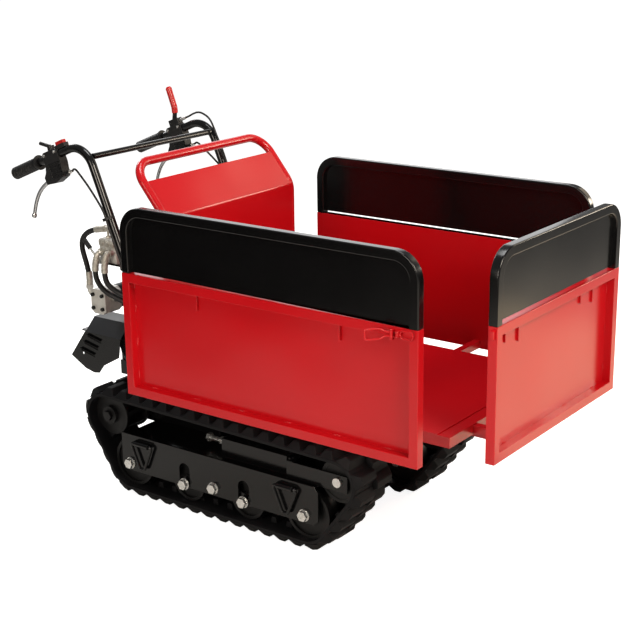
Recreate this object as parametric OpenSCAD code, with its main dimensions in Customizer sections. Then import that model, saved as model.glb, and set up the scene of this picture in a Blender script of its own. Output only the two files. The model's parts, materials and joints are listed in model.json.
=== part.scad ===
// Tracked power carrier with a tipping bed whose sides and front slide out.
// +X is forward, +Y is the machine's left, +Z is up, and the ground is Z = 0.

/* [Bed] */
// X of the bed's rear edge
bed_rear_x = -262; // [-290:1:-240]
// Length of the side panels
panel_l = 1050; // [900:5:1200]
// Height of the panels
panel_h = 385; // [320:5:450]
// Height of the panels' lower edge above the ground
panel_z = 444; // [435:1:470]
// Square tube that frames the panels and the boards
frame_t = 28; // [25:1:32]
// Wall of the square tubes
tube_wall = 2.5; // [2:0.5:3]
// Sheet metal of panels, boards, floor and headboard
sheet_t = 2.5; // [2:0.5:3]
// Width of the bed floor
floor_w = 666; // [600:2:720]
// Length of the bed floor
floor_l = 1044; // [900:2:1200]
// Height from the panels' lower edge to the floor's top
floor_rise = 34; // [33:1:40]
// How far each side panel slides out
side_reach = 139; // [60:1:150]
// How far the front panel slides out
front_reach = 123; // [60:1:150]
// Gap between the floor's edge and a closed side panel
side_gap = 7; // [5:1:12]
// Gap between the side panels' ends and the closed front panel
front_gap = 2; // [2:1:8]
// Square slide bars of the panels
bar_w = 25; // [20:1:26]
// Distance of the rear and front side bars from the bed's rear edge
bar_at = [120, 660]; // [100:1:700]
// Distance of the front panel's bars from the middle
front_bar_y = 193; // [150:1:240]
// Free play of a slide bar in its guide, on each side
bar_play = 0.5; // [0.3:0.1:0.8]

/* [Boards and headboard] */
// Height of the black boards above the panels
board_h = 203; // [150:1:260]
// Gap between a board and the panel below it
board_gap = 0.6; // [0.4:0.1:3]
// Outer radius of the boards' upper corners
board_corner_r = 80; // [60:1:100]
// Length of the spigots that stand in the corner posts
spigot_l = 80; // [40:1:120]
// Diameter of the headboard's tube loop
loop_d = 28; // [24:1:32]
// Height of the headboard's knee above the floor
knee_h = 485; // [400:5:520]
// Lean of the headboard's upper part from the vertical
lean = 39.5; // [20:0.5:45]
// Length of the leaning tubes, from the knee to the top bar
lean_l = 196; // [160:1:240]
// Length of the leaning sheet, from the knee to the hand slot
lean_sheet_l = 132; // [100:1:150]

/* [Tracks] */
// Width of a track
track_w = 180; // [160:2:200]
// How far a track's middle lies in from the side of the floor
track_inset = 78; // [70:1:86]
// Thickness of the belt
belt_t = 12; // [10:1:14]
// Height of the tread blocks
tread_h = 20; // [14:1:24]
// Length of a tread block at its foot and at its top
tread_l = [52, 22]; // [20:1:54]
// Belt pitch: one tread block and one drive lug each
pitch = 60; // [56:1:64]
// Drive lugs: width, length at the foot, length at the top
lug = [80, 24, 18]; // [16:1:84]
// Height of the drive lugs
lug_h = 20; // [16:1:20]
// Teeth of the drive sprocket
teeth = 8; // [8:1:8]
// Place of the drive sprocket
sprocket_x = -540; // [-550:1:-530]
// Height of the drive sprocket's axis
sprocket_z = 255; // [248:1:260]
// Place of the idler
idler_x = 392; // [375:1:400]
// Height of the idler's axis
idler_z = 242; // [236:1:246]
// Radius of the belt's inner face on the idler
idler_r = 69; // [62:1:72]
// Middle of the wheelbase, where the bogie pivots
bogie_x = -78; // [-90:1:-66]
// Distance of the end wheels from the bogie pivot
end_reach = 358; // [340:1:370]
// Distance of the rollers from the bogie pivot
roller_reach = 122; // [110:1:135]
// Radius of the end wheels
wheel_r = 82; // [76:1:86]
// Radius of the rollers
roller_r = 65; // [58:1:70]
// Height of the bogie pivot
pivot_z = 113; // [108:1:118]
// Clearance of wheels in the belt
belt_play = 0.3; // [0.3:0.1:0.6]
// Diameter of the axle bolts
axle_d = 20; // [16:1:22]
// Running clearance on axles and pins, on the radius
run = 0.05; // [0.03:0.01:0.08]

/* [Frame] */
// Lower edge, upper edge of the track plates
plate_z = [88, 215]; // [80:1:220]
// Rear end, front end of the track plates
plate_x = [-473, 332]; // [-480:1:345]
// Thickness of the track plates
plate_t = 6; // [5:1:8]
// Width of the slots that let the roller bolts rise
slot_w = 43; // [38:1:50]
// Height of the chassis rails: lower and upper face
rail_z = [330, 380]; // [325:1:384]
// Distance of the rails' outer faces from the middle
rail_y = 145; // [130:1:150]
// Width of a rail
rail_w = 30; // [25:1:40]
// Place of the bed's hinge
hinge_x = 405; // [395:1:415]
// Height of the bed's hinge
hinge_z = 400; // [398:1:404]
// Diameter of the bed's hinge pin and of the cylinder's pins
pin_d = 20; // [16:1:24]
// Tension box: rear end, front end
tension_x = [-62, 189]; // [-80:1:200]
// Height of the tension box
tension_h = 61; // [50:1:64]
// Wire of the tie-down rings
ring_d = 10; // [8:1:12]
// Width and drop of the tie-down rings
ring_size = [92, 84]; // [82:1:100]
// Distances of the tie-down rings from the bogie pivot
ring_at = [-297, 293]; // [-310:1:310]

/* [Handlebar] */
// Diameter of the handlebar tube
bar_d = 28; // [25:1:30]
// How far the handles stand out from the middle of the tracks
handle_set = 43; // [30:1:50]
// Where each handle's two straight runs would meet: X
handle_corner_x = -600; // [-620:1:-580]
// Where each handle's two straight runs would meet: height
handle_corner_z = 1161; // [1130:1:1180]
// Slope of the legs from the level
leg_angle = 67.7; // [64:0.1:72]
// Slope of the grips from the level
grip_angle = 22.2; // [15:0.1:28]
// Bend radius of the handles
handle_bend = 80; // [60:1:90]
// Rearmost point of the grips
grip_end_x = -941; // [-970:1:-930]
// Length of the rubber grips
grip_l = 130; // [110:1:140]
// Diameter of the rubber grips
grip_d = 42; // [38:1:46]
// Height of the crossbar
crossbar_z = 1114; // [1090:1:1120]
// Upper face of the cross member that carries the handles
cross_z = 410; // [400:1:420]

/* [Engine and hydraulics] */
// Upper face of the engine deck
deck_z = 500; // [490:1:510]
// Place of the engine's crankshaft and the pump
crank_x = -620; // [-640:1:-600]
// Height of the crankshaft above the deck
crank_h = 120; // [105:1:130]
// Pump: length, width, height
pump_size = [66, 76, 84]; // [50:1:100]
// Y of the pump's outer face
pump_y = -262; // [-275:1:-250]
// Diameter of the hydraulic hoses
hose_d = 18; // [14:1:20]
// Foot of the tipping cylinder behind the bed's hinge and below it
foot_at = [-281, -208]; // [-300:1:-190]
// Head of the tipping cylinder behind the bed's hinge and above it
head_at = [-102, 24]; // [-115:1:30]
// Diameter of the cylinder barrel
barrel_d = 60; // [50:1:66]
// Diameter of the cylinder rod
rod_d = 30; // [25:1:36]
// Clearance of the rod's eye on the bed's pin, on the radius
eye_play = 6; // [5:0.5:8]

/* [Hidden] */

red = "#c4201f";
black = "#17181a";
rubber = "#1d1d1f";
grey = "#3a3d42";
zinc = "#c9c8c0";
alu = "#b9b7ae";
$fn = 48;
tiny = 0.01;
over = 1;

// Bed places that follow from the driving sizes
side_in = floor_w / 2 + side_gap + side_reach;
side_out = side_in + frame_t;
front_in = bed_rear_x + panel_l + front_gap + front_reach;
front_out = front_in + frame_t;
front_half = floor_w / 2 + side_gap + frame_t;
panel_top = panel_z + panel_h;
floor_z = panel_z + floor_rise;
floor_front = bed_rear_x + floor_l;
guide_w = bar_w + 2 * bar_play + 2 * tube_wall;
bar_z = floor_z - sheet_t - guide_w / 2;
mid_gap = 11;
side_bar_l = floor_w / 2 + side_gap - mid_gap;
bar_front = bed_rear_x + bar_at[1];
front_tail_gap = 30;
front_bar_l = front_in - front_reach - (bar_front + guide_w / 2 + front_tail_gap);
post_hole = frame_t - 2 * tube_wall;
spigot_w = post_hole - 1;
board_z = panel_top + board_gap;
beam_y = [88, 128];
beam_h = 41;
beam_z = bar_z - guide_w / 2 - beam_h + over;
ear_t = 10;

// Track path that follows from the driving sizes
sprocket_r = teeth * pitch / (2 * PI) - belt_t / 2;
track_y = floor_w / 2 - track_inset;
handle_y = track_y + handle_set;
wheel_z = tread_h + belt_t + wheel_r;
roller_z = tread_h + belt_t + roller_r;
rear_wheel_x = bogie_x - end_reach;
front_wheel_x = bogie_x + end_reach;
path = [[rear_wheel_x, wheel_z, wheel_r], [front_wheel_x, wheel_z, wheel_r],
    [idler_x, idler_z, idler_r], [sprocket_x, sprocket_z, sprocket_r]];
function after(i) = (i + 1) % 4;
function before(i) = (i + 3) % 4;
function hub(i) = [path[i].x, path[i].y];
function span(i) = hub(after(i)) - hub(i);
function run_normal(i) = atan2(span(i).y, span(i).x) - 90
    + asin((path[i].z - path[after(i)].z) / norm(span(i)));
function wrap(i) = (run_normal(i) - run_normal(before(i)) + 720) % 360;
function arc_l(i) = wrap(i) * PI / 180 * (path[i].z + belt_t / 2);
function run_l(i) = sqrt(pow(norm(span(i)), 2) - pow(path[i].z - path[after(i)].z, 2));
stretch = [for (i = [0:3]) each [arc_l(i), run_l(i)]];
function total(list, n) = n == 0 ? 0 : list[n - 1] + total(list, n - 1);
starts = [for (k = [0:8]) total(stretch, k)];
belt_l = starts[8];
lugs = round(belt_l / pitch);
step = belt_l / lugs;
// A place on the belt's inner face: X, Z and the direction that faces out
function on_arc(i, u) = let (a = run_normal(before(i)) + u / (path[i].z + belt_t / 2) * 180 / PI)
    [path[i].x + path[i].z * cos(a), path[i].y + path[i].z * sin(a), a];
function on_run(i, u) = let (a = run_normal(i))
    [path[i].x + path[i].z * cos(a) - u * sin(a), path[i].y + path[i].z * sin(a) + u * cos(a), a];
function piece_of(s, k = 0) = k == 7 || s < starts[k + 1] ? k : piece_of(s, k + 1);
function place(s) = let (t = (s % belt_l + belt_l) % belt_l, k = piece_of(t), u = t - starts[k])
    k % 2 == 0 ? on_arc(floor(k / 2), u) : on_run(floor(k / 2), u);
function belt_point(s, out) = let (p = place(s)) [p.x + out * cos(p.z), p.y + out * sin(p.z)];
arc_step = 5;
inner_face = [for (i = [0:3]) let (n = ceil(wrap(i) / arc_step)) for (j = [0:n])
    let (p = on_arc(i, arc_l(i) * j / n)) [p.x, p.y]];
function tread_face(shift) = [for (k = [0:lugs - 1]) let (s = (k + shift) * step)
    each [belt_point(s - tread_l[0] / 2, belt_t), belt_point(s - tread_l[1] / 2, belt_t + tread_h),
        belt_point(s + tread_l[1] / 2, belt_t + tread_h), belt_point(s + tread_l[0] / 2, belt_t)]];
mesh_lug = round((starts[6] + arc_l(3) / 2) / step);
tooth_angle = place(mesh_lug * step).z + 180 / teeth;
channel = lug[0] + 6;
core_gap = 2.4;
side_play = 8;
plate_out = track_y + track_w / 2 - 9;
plate_in = track_y - track_w / 2 + 15;
hub_w = plate_out - plate_t - plate_in - 2 * side_play;
web_z = plate_z[1] - 10;
web_t = 6;
web_inset = 14;
box_z = web_z + web_t;
box_half = 45;
bogie_play = 3;
bogie_out = plate_out - plate_t - bogie_play;
bogie_in = plate_in + bogie_play;
washer_t = 3;
head_h = 13;
head_r = 15 / cos(30);
tab_y = plate_out + ring_d / 2 + 6;
tab_l = 62;
ring_z = plate_z[1] - 22;

// Frame places
cross_w = 60;
cross_h = 40;
cross_x = bed_rear_x - 66;
axle_tube = 40;
axle_tube_z = 150;
foot_x = hinge_x + foot_at[0];
foot_z = hinge_z + foot_at[1];
head_x = hinge_x + head_at[0];
head_z = hinge_z + head_at[1];
cyl_l = norm([head_x - foot_x, head_z - foot_z]);
cyl_a = atan2(head_z - foot_z, head_x - foot_x);
deck_t = 6;
deck_x = [-735, -395];
deck_y = 235;
rest_x = bed_rear_x + 60;
rest_w = 40;
rest_play = 0.3;

// Handle places
handle_r = bar_d / 2;
leg_foot = [handle_corner_x + (handle_corner_z - cross_z) / tan(leg_angle), -handle_y, cross_z];
handle_corner = [handle_corner_x, -handle_y, handle_corner_z];
grip_back = [-cos(grip_angle), 0, -sin(grip_angle)];
grip_run = (handle_corner_x - grip_end_x - grip_d / 2 * sin(grip_angle)) / cos(grip_angle);
grip_tip = handle_corner + grip_run * grip_back;
crossbar_x = handle_corner_x + (handle_corner_z - crossbar_z) / tan(leg_angle);
perch_run = 158;
perch_at = handle_corner + perch_run * grip_back;
perch_w = 34;
lever_pivot = [-48, -67];
lever_r = 6;
clutch_pivot = [0, 30];
switch_at = 30;
cable_drop = -68;
cable_out = 62;
function grip_point(x, y, z) = perch_at + [x * cos(grip_angle) - z * sin(grip_angle), y, x * sin(grip_angle) + z * cos(grip_angle)];
crank_z = deck_z + crank_h;
valve_x = [-590, -515];
valve_y = [-270, -225];
valve_z = [765, 842];
valve_port = [-566, -530];
valve_pivot = [-606, -262, 764];
banjo = [-540, -248, 872];
banjo_r = 14;
hose_x = -682;
hose_y = -236;
hose_z = 664;

// Latch places, from the side panel's front end and top
latch_x = bed_rear_x + panel_l - 78;
latch_z = panel_top - 18;
latch_y = 8;
latch_open = 28;
bail_x = latch_x + 18;

// Round bar between two points
module rod(p, q, r) {
    d = q - p;
    translate(p) rotate([0, acos(d.z / norm(d)), atan2(d.y, d.x)]) cylinder(r = r, h = norm(d));
}

function unit(v) = v / norm(v);
function next_of(p, i) = p[(i + 1) % len(p)];
function last_of(p, i) = p[(i + len(p) - 1) % len(p)];
function turn_at(p, i) = acos(unit(p[i] - last_of(p, i)) * unit(next_of(p, i) - p[i]));
function is_bend(p, i, closed) = closed || (i > 0 && i < len(p) - 1);
function trim_at(p, i, bend, closed) = is_bend(p, i, closed) ? bend * tan(turn_at(p, i) / 2) : 0;

// Round bar bent at each inner point of a route, with a thin collar over each butt joint
module bent_rod(p, bend, r, closed = false) {
    n = len(p);
    gap = 0.05;
    collar = 0.4;
    collar_r = r + 0.12;
    for (i = [0:closed ? n - 1 : n - 2]) {
        j = (i + 1) % n;
        d = unit(p[j] - p[i]);
        start = p[i] + trim_at(p, i, bend, closed) * d;
        end = p[j] - trim_at(p, j, bend, closed) * d;
        rod(is_bend(p, i, closed) ? start + gap * d : start, is_bend(p, j, closed) ? end - gap * d : end, r);
        if (is_bend(p, i, closed)) rod(start - collar * d, start + collar * d, collar_r);
        if (is_bend(p, j, closed)) rod(end - collar * d, end + collar * d, collar_r);
    }
    for (i = [0:n - 1]) if (is_bend(p, i, closed)) {
        d = unit(p[i] - last_of(p, i));
        e = unit(next_of(p, i) - p[i]);
        up = unit(cross(d, e));
        x = unit(cross(d, up));
        c = p[i] - trim_at(p, i, bend, closed) * d - bend * x;
        multmatrix([[x.x, d.x, up.x, c.x], [x.y, d.y, up.y, c.y], [x.z, d.z, up.z, c.z], [0, 0, 0, 1]])
            rotate_extrude(angle = turn_at(p, i)) translate([bend, 0]) circle(r = r);
    }
}

// Soft tube through hand-set points: smooth route, then one ring of sides at each place
function curve(p, i, t) = let (a = p[max(i - 1, 0)], b = p[i], c = p[i + 1], d = p[min(i + 2, len(p) - 1)])
    0.5 * (2 * b + (c - a) * t + (2 * a - 5 * b + 4 * c - d) * t * t + (3 * b - a - 3 * c + d) * t * t * t);
function smooth(p, n) = [for (i = [0:len(p) - 2]) for (j = [0:n - 1]) curve(p, i, j / n), p[len(p) - 1]];
function heading(p, i, ends) = i == 0 ? ends[0] : i == len(p) - 1 ? ends[1] : unit(p[i + 1] - p[i - 1]);
function sides_at(p, last, ends, i = 0) = i == len(p) ? [] :
    let (t = heading(p, i, ends), m = unit(last - (last * t) * t)) concat([m], sides_at(p, m, ends, i + 1));
module soft_tube(points, r, sides = 8, n = 3) {
    p = smooth(points, n);
    last = len(points) - 1;
    ends = [unit(points[1] - points[0]), unit(points[last] - points[last - 1])];
    ref = abs(ends[0].z) < 0.8 ? [0, 0, 1] : [0, 1, 0];
    m = sides_at(p, ref, ends);
    rings = len(p);
    verts = [for (i = [0:rings - 1]) for (k = [0:sides - 1])
        let (a = 360 * k / sides) p[i] + r * (cos(a) * m[i] + sin(a) * cross(heading(p, i, ends), m[i]))];
    walls = [for (i = [0:rings - 2]) for (k = [0:sides - 1])
        let (a = i * sides + k, b = i * sides + (k + 1) % sides)
        each [[a, a + sides, b], [b, a + sides, b + sides]]];
    tip = (rings - 1) * sides;
    polyhedron(concat(verts, [p[0], p[rings - 1]]), concat(walls,
        [for (k = [0:sides - 1]) [rings * sides, k, (k + 1) % sides]],
        [for (k = [0:sides - 1]) [rings * sides + 1, tip + (k + 1) % sides, tip + k]]));
}

module left_side() { mirror([0, 1, 0]) children(); }
module both_sides() {
    children();
    left_side() children();
}
// Turns a shape drawn in X and Z so that its depth runs along Y, towards the right
module upright(y, t) { translate([0, y, 0]) rotate([90, 0, 0]) linear_extrude(t) children(); }
module cross_bore(x, y, z, r, l) { translate([x, y, z]) rotate([-90, 0, 0]) cylinder(r = r, h = l); }
// Axes along a grip: X up the tube, Z away from it
module on_grip() { translate(perch_at) rotate([0, -grip_angle, 0]) children(); }
module square_tube(size, wall, axis) {
    hole = [for (i = [0:2]) i == axis ? size[i] + 2 * over : size[i] - 2 * wall];
    difference() {
        cube(size);
        translate([for (i = [0:2]) i == axis ? -over : wall]) cube(hole);
    }
}

// Undercarriage
module plate_outline() {
    nose = 16;
    polygon([[plate_x[0], plate_z[0] + nose], [plate_x[0] + nose, plate_z[0]],
        [plate_x[1] - nose, plate_z[0]], [plate_x[1], plate_z[0] + nose],
        [plate_x[1], plate_z[1] - nose], [plate_x[1] - nose, plate_z[1]],
        [plate_x[0], plate_z[1]]]);
}
module axle_holes() {
    for (x = [rear_wheel_x, front_wheel_x]) translate([x, wheel_z]) circle(r = axle_d / 2 + run);
    translate([bogie_x, pivot_z]) circle(r = axle_d / 2 + run);
}
module roller_slots() {
    slot_top = plate_z[1] - 48 - slot_w / 2;
    for (x = [-roller_reach, roller_reach]) translate([bogie_x + x, 0]) {
        translate([0, slot_top]) circle(d = slot_w);
        translate([-slot_w / 2, 0]) square([slot_w, slot_top]);
    }
}
splash_x = [-438, -180];
splash_h = 70;
module main_frame_side() {
    upright(-plate_in + plate_t, plate_t) difference() {
        plate_outline();
        axle_holes();
        roller_slots();
    }
    translate([plate_x[0] + web_inset, -plate_out + plate_t, web_z])
        cube([plate_x[1] - plate_x[0] - 2 * web_inset, plate_out - plate_in - plate_t + over, web_t]);
    translate([tension_x[0], -track_y - box_half, box_z])
        square_tube([tension_x[1] - tension_x[0], 2 * box_half, tension_h], 5, 0);
    translate([tension_x[0] - 8, -track_y - box_half, box_z]) difference() {
        cube([8, 2 * box_half, tension_h]);
        translate([-over, box_half, tension_h / 2]) rotate([0, 90, 0]) cylinder(r = 8 + run, h = 10);
    }
    translate([splash_x[0], -plate_in, plate_z[1] - 10]) cube([splash_x[1] - splash_x[0], plate_t, splash_h + 10]);
    rail_back = sprocket_x - 110;
    translate([rail_back, -rail_y, rail_z[0]])
        square_tube([hinge_x + 20 - rail_back, rail_w, rail_z[1] - rail_z[0]], 4, 0);
    for (x = [bogie_x - 222, foot_x])
        translate([x - axle_tube / 2, -rail_y, axle_tube_z]) cube([axle_tube, rail_w, rail_z[0] - axle_tube_z]);
    upright(-rail_y + 2, ear_t) difference() {
        union() {
            translate([hinge_x, hinge_z]) circle(r = pin_d / 2 + 12);
            translate([hinge_x - 30, rail_z[1] - over]) square([50, hinge_z - rail_z[1] + over]);
        }
        translate([hinge_x, hinge_z]) circle(r = pin_d / 2);
    }
    upright(-rail_y + 16, 8) polygon([[deck_x[0] + 60, deck_z - deck_t], [deck_x[1] - 20, deck_z - deck_t],
        [deck_x[1] + 20, rail_z[1] - over], [rail_back, rail_z[1] - over], [rail_back, rail_z[1] + 20]]);
    gusset_t = 5;
    gusset_z = deck_z - deck_t + over;
    upright(-deck_y + gusset_t + over, gusset_t) polygon([[crank_x + 45, gusset_z], [deck_x[1] - over, gusset_z],
        [cross_x + over, cross_z - over], [cross_x + over, cross_z - cross_h + over], [crank_x + 102, 392]]);
}
module main_frame() color(black) {
    main_frame_side();
    left_side() main_frame_side();
    for (x = [bogie_x - 222, foot_x])
        translate([x - axle_tube / 2, -plate_in - over, axle_tube_z - axle_tube / 2])
            square_tube([axle_tube, 2 * plate_in + 2 * over, axle_tube], 4, 1);
    for (s = [-1, 1]) upright(s * 30 + 5, 10) {
        translate([foot_x, foot_z]) circle(r = pin_d / 2 + 14);
        translate([foot_x - 24, axle_tube_z]) square([48, foot_z - axle_tube_z]);
    }
    cross_bore(foot_x, -40, foot_z, pin_d / 2, 80);
    translate([cross_x, -handle_y - 22, cross_z - cross_h])
        square_tube([cross_w, 2 * handle_y + 44, cross_h], 4, 1);
    translate([rest_x, -rail_y, rail_z[1] - over])
        cube([rest_w, 2 * rail_y, beam_z - rest_play - rail_z[1] + over]);
    translate([deck_x[0], -deck_y, deck_z - deck_t]) cube([deck_x[1] - deck_x[0], 2 * deck_y, deck_t]);
    translate([sprocket_x - 60, -rail_y, rail_z[0]]) cube([120, 2 * rail_y, 8]);
    translate([sprocket_x - 108, -rail_y + over, rail_z[0] + 8])
        square_tube([40, 2 * rail_y - 2 * over, 40], 4, 1);
}

module outer_plate() {
    difference() {
        union() {
            upright(-plate_out + plate_t, plate_t) difference() {
                plate_outline();
                axle_holes();
                roller_slots();
            }
            for (x = ring_at) translate([bogie_x + x - tab_l / 2, 0, 0]) {
                translate([0, -tab_y, ring_z]) rotate([0, 90, 0]) cylinder(r = ring_d / 2 + 4, h = tab_l);
                translate([0, -tab_y, ring_z + ring_d / 2]) cube([tab_l, tab_y - plate_out + over, 4]);
            }
        }
        for (x = ring_at) translate([bogie_x + x - tab_l, -tab_y, ring_z]) rotate([0, 90, 0])
            cylinder(r = ring_d / 2 + run, h = 2 * tab_l);
    }
}
module outer_track_plates() color(black) both_sides() outer_plate();

module idler_fork() {
    arm_t = 7;
    arm_gap = 1;
    arm_out = track_y + idler_w / 2 + arm_gap + arm_t;
    arm_in = track_y - idler_w / 2 - arm_gap - arm_t;
    arm_r = 23;
    arm_nose = 34;
    arm_z = box_z + arm_gap;
    slack = 0.3;
    for (y = [-arm_out + arm_t, -arm_in]) upright(y, arm_t) difference() {
        translate([tension_x[1] + 12, arm_z])
            square([idler_x + arm_nose - tension_x[1] - 12, idler_z + arm_r - arm_z]);
        translate([idler_x, idler_z]) circle(r = axle_d / 2);
    }
    cross_bore(idler_x, -arm_out - 8, idler_z, axle_d / 2, arm_out - arm_in + 12);
    cross_bore(idler_x, -arm_out - 8, idler_z, axle_d / 2 + 5, 8);
    fork_foot = box_z + 5 + slack;
    translate([tension_x[1] + 12, -arm_out + over, fork_foot])
        cube([22, arm_out - arm_in - 2 * over, tension_h - 10 - 2 * slack]);
    translate([tension_x[0] + 60, -track_y - box_half + 5 + slack, fork_foot])
        cube([tension_x[1] - tension_x[0] - 46, 2 * box_half - 10 - 2 * slack, tension_h - 10 - 2 * slack]);
    translate([tension_x[0] - 34, -track_y, box_z + tension_h / 2]) rotate([0, 90, 0]) cylinder(r = 8, h = 96);
    translate([tension_x[0] - 46, -track_y, box_z + tension_h / 2]) rotate([0, 90, 0])
        cylinder(r = 14, h = 12, $fn = 6);
}
module idler_forks() color(black) both_sides() idler_fork();

module axle_bolt(x, z) {
    nut_y = plate_in - plate_t;
    cross_bore(x, -plate_out - washer_t, z, axle_d / 2, plate_out + washer_t - nut_y + head_h);
    cross_bore(x, -plate_out - washer_t, z, head_r + 2, washer_t);
    translate([x, -plate_out - washer_t, z]) rotate([90, 0, 0]) cylinder(r = head_r, h = head_h, $fn = 6);
    translate([x, -nut_y, z]) rotate([-90, 0, 0]) cylinder(r = head_r, h = head_h, $fn = 6);
}
module axle_bolts() color(zinc) both_sides() {
    axle_bolt(rear_wheel_x, wheel_z);
    axle_bolt(front_wheel_x, wheel_z);
    axle_bolt(bogie_x, pivot_z);
}

module tread_half(y, shift) {
    outer = tread_face(shift);
    n = len(outer);
    m = len(inner_face);
    upright(y, track_w / 2)
        polygon(concat(outer, inner_face), [[for (i = [0:n - 1]) i], [for (i = [0:m - 1]) n + i]]);
}
module track() color(rubber) {
    tread_half(-track_y + track_w / 2, 0.5);
    tread_half(-track_y, 0);
    sink = 1;
    for (k = [0:lugs - 1]) {
        p = place(k * step);
        translate([p.x, -track_y + lug[0] / 2, p.y]) rotate([90, 90 - p.z, 0]) linear_extrude(lug[0])
            polygon([[-lug[1] / 2, sink], [lug[1] / 2, sink], [lug[2] / 2, -lug_h], [-lug[2] / 2, -lug_h]]);
    }
}
module right_track() track();
module left_track() left_side() track();

module gearbox() color(grey) {
    difference() {
        union() {
            cross_bore(sprocket_x, -62, sprocket_z, 72, 124);
            translate([sprocket_x - 55, -62, sprocket_z]) cube([110, 124, rail_z[0] - sprocket_z]);
            cross_bore(sprocket_x, -rail_y - 8, sprocket_z, 28, 2 * rail_y + 16);
            for (s = [-1, 1]) cross_bore(sprocket_x, s * 78 - 8, sprocket_z, 50, 16);
            for (a = [0:30:330]) translate([sprocket_x + 62 * cos(a), -66, sprocket_z + 62 * sin(a)])
                rotate([-90, 0, 0]) cylinder(r = 6, h = 132);
        }
        for (s = [-1, 1]) cross_bore(sprocket_x, s > 0 ? 60 : -rail_y - 10, sprocket_z, 15 + run, rail_y - 50);
    }
}

module sprocket() color(black) {
    core = sprocket_r - lug_h - core_gap;
    rim_t = 10;
    rim = sprocket_r - belt_play;
    cross_bore(sprocket_x, -track_y - channel / 2 - over, sprocket_z, core, channel + 2 * over);
    for (y = [-track_y - channel / 2 - rim_t, -track_y + channel / 2]) cross_bore(sprocket_x, y, sprocket_z, rim, rim_t);
    translate([sprocket_x, -track_y + channel / 2 + over, sprocket_z]) rotate([90, 0, 0])
        linear_extrude(channel + 2 * over) for (k = [0:teeth - 1]) rotate(tooth_angle + k * 360 / teeth)
            polygon([[core - 4, -8], [rim - 4, -6], [rim - 4, 6], [core - 4, 8]]);
    cross_bore(sprocket_x, -track_y - channel / 2 - 24, sprocket_z, 30, 24);
    translate([sprocket_x, -track_y - channel / 2 - 23, sprocket_z]) rotate([90, 0, 0])
        cylinder(r = head_r, h = 13, $fn = 6);
    cross_bore(sprocket_x, -track_y, sprocket_z, 15, track_y - 64);
}
module right_sprocket() sprocket();
module left_sprocket() left_side() sprocket();

// Spool wheel: two dished rims on a core that leaves room for the drive lugs
module spool(r, w, x, z) {
    rim = r - belt_play;
    core = r - lug_h - core_gap - 2;
    bore = axle_d / 2 + run;
    hub_r = bore + 14;
    rim_in = rim - 10;
    dish = min((w - channel) / 2 - 6, 12);
    lip = 3;
    color(black) translate([x, -track_y, z]) rotate([-90, 0, 0]) rotate_extrude()
        polygon([[bore, -w / 2], [hub_r, -w / 2], [hub_r, -w / 2 + dish], [rim_in, -w / 2 + dish],
            [rim_in, -w / 2 + lip], [rim, -w / 2 + lip], [rim, -channel / 2], [core, -channel / 2],
            [core, channel / 2], [rim, channel / 2], [rim, w / 2 - lip], [rim_in, w / 2 - lip],
            [rim_in, w / 2 - dish], [hub_r, w / 2 - dish], [hub_r, w / 2], [bore, w / 2]]);
}
idler_w = channel + 22;
roller_w = bogie_out - bogie_in - 2 * plate_t - 4;
module right_idler() spool(idler_r, idler_w, idler_x, idler_z);
module left_idler() left_side() right_idler();
module right_rear_wheel() spool(wheel_r, hub_w, rear_wheel_x, wheel_z);
module right_front_wheel() spool(wheel_r, hub_w, front_wheel_x, wheel_z);
module left_rear_wheel() left_side() right_rear_wheel();
module left_front_wheel() left_side() right_front_wheel();
module right_rear_roller() spool(roller_r, roller_w, bogie_x - roller_reach, roller_z);
module right_front_roller() spool(roller_r, roller_w, bogie_x + roller_reach, roller_z);
module left_rear_roller() left_side() right_rear_roller();
module left_front_roller() left_side() right_front_roller();

module bogie() {
    for (y = [-bogie_out + plate_t, -bogie_in]) color(black) upright(y, plate_t) translate([bogie_x, 0]) difference() {
        polygon([[-roller_reach - 24, roller_z - 16], [roller_reach + 24, roller_z - 16],
            [roller_reach + 24, roller_z + 16], [34, pivot_z + 28], [-34, pivot_z + 28],
            [-roller_reach - 24, roller_z + 16]]);
        translate([0, pivot_z]) circle(r = axle_d / 2 + run);
    }
    color(zinc) for (x = [bogie_x - roller_reach, bogie_x + roller_reach]) {
        cross_bore(x, -plate_out - washer_t - over, roller_z, axle_d / 2, plate_out - bogie_in + washer_t + 2 * over);
        cross_bore(x, -plate_out - washer_t - over, roller_z, head_r + 2, washer_t);
        translate([x, -plate_out - washer_t - over, roller_z]) rotate([90, 0, 0])
            cylinder(r = head_r, h = head_h, $fn = 6);
    }
}
module right_bogie() bogie();
module left_bogie() left_side() bogie();

module tie_ring(x) {
    half = ring_size[0] / 2;
    toe = 10;
    drop = ring_size[1];
    color(black) translate([bogie_x + x, -tab_y, ring_z]) {
        bent_rod([[half, 0, 0], [toe, 0, -drop], [-toe, 0, -drop], [-half, 0, 0]], ring_d * 0.8, ring_d / 2, true);
    }
}
module right_rear_ring() tie_ring(ring_at[0]);
module right_front_ring() tie_ring(ring_at[1]);
module left_rear_ring() left_side() tie_ring(ring_at[0]);
module left_front_ring() left_side() tie_ring(ring_at[1]);

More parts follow.
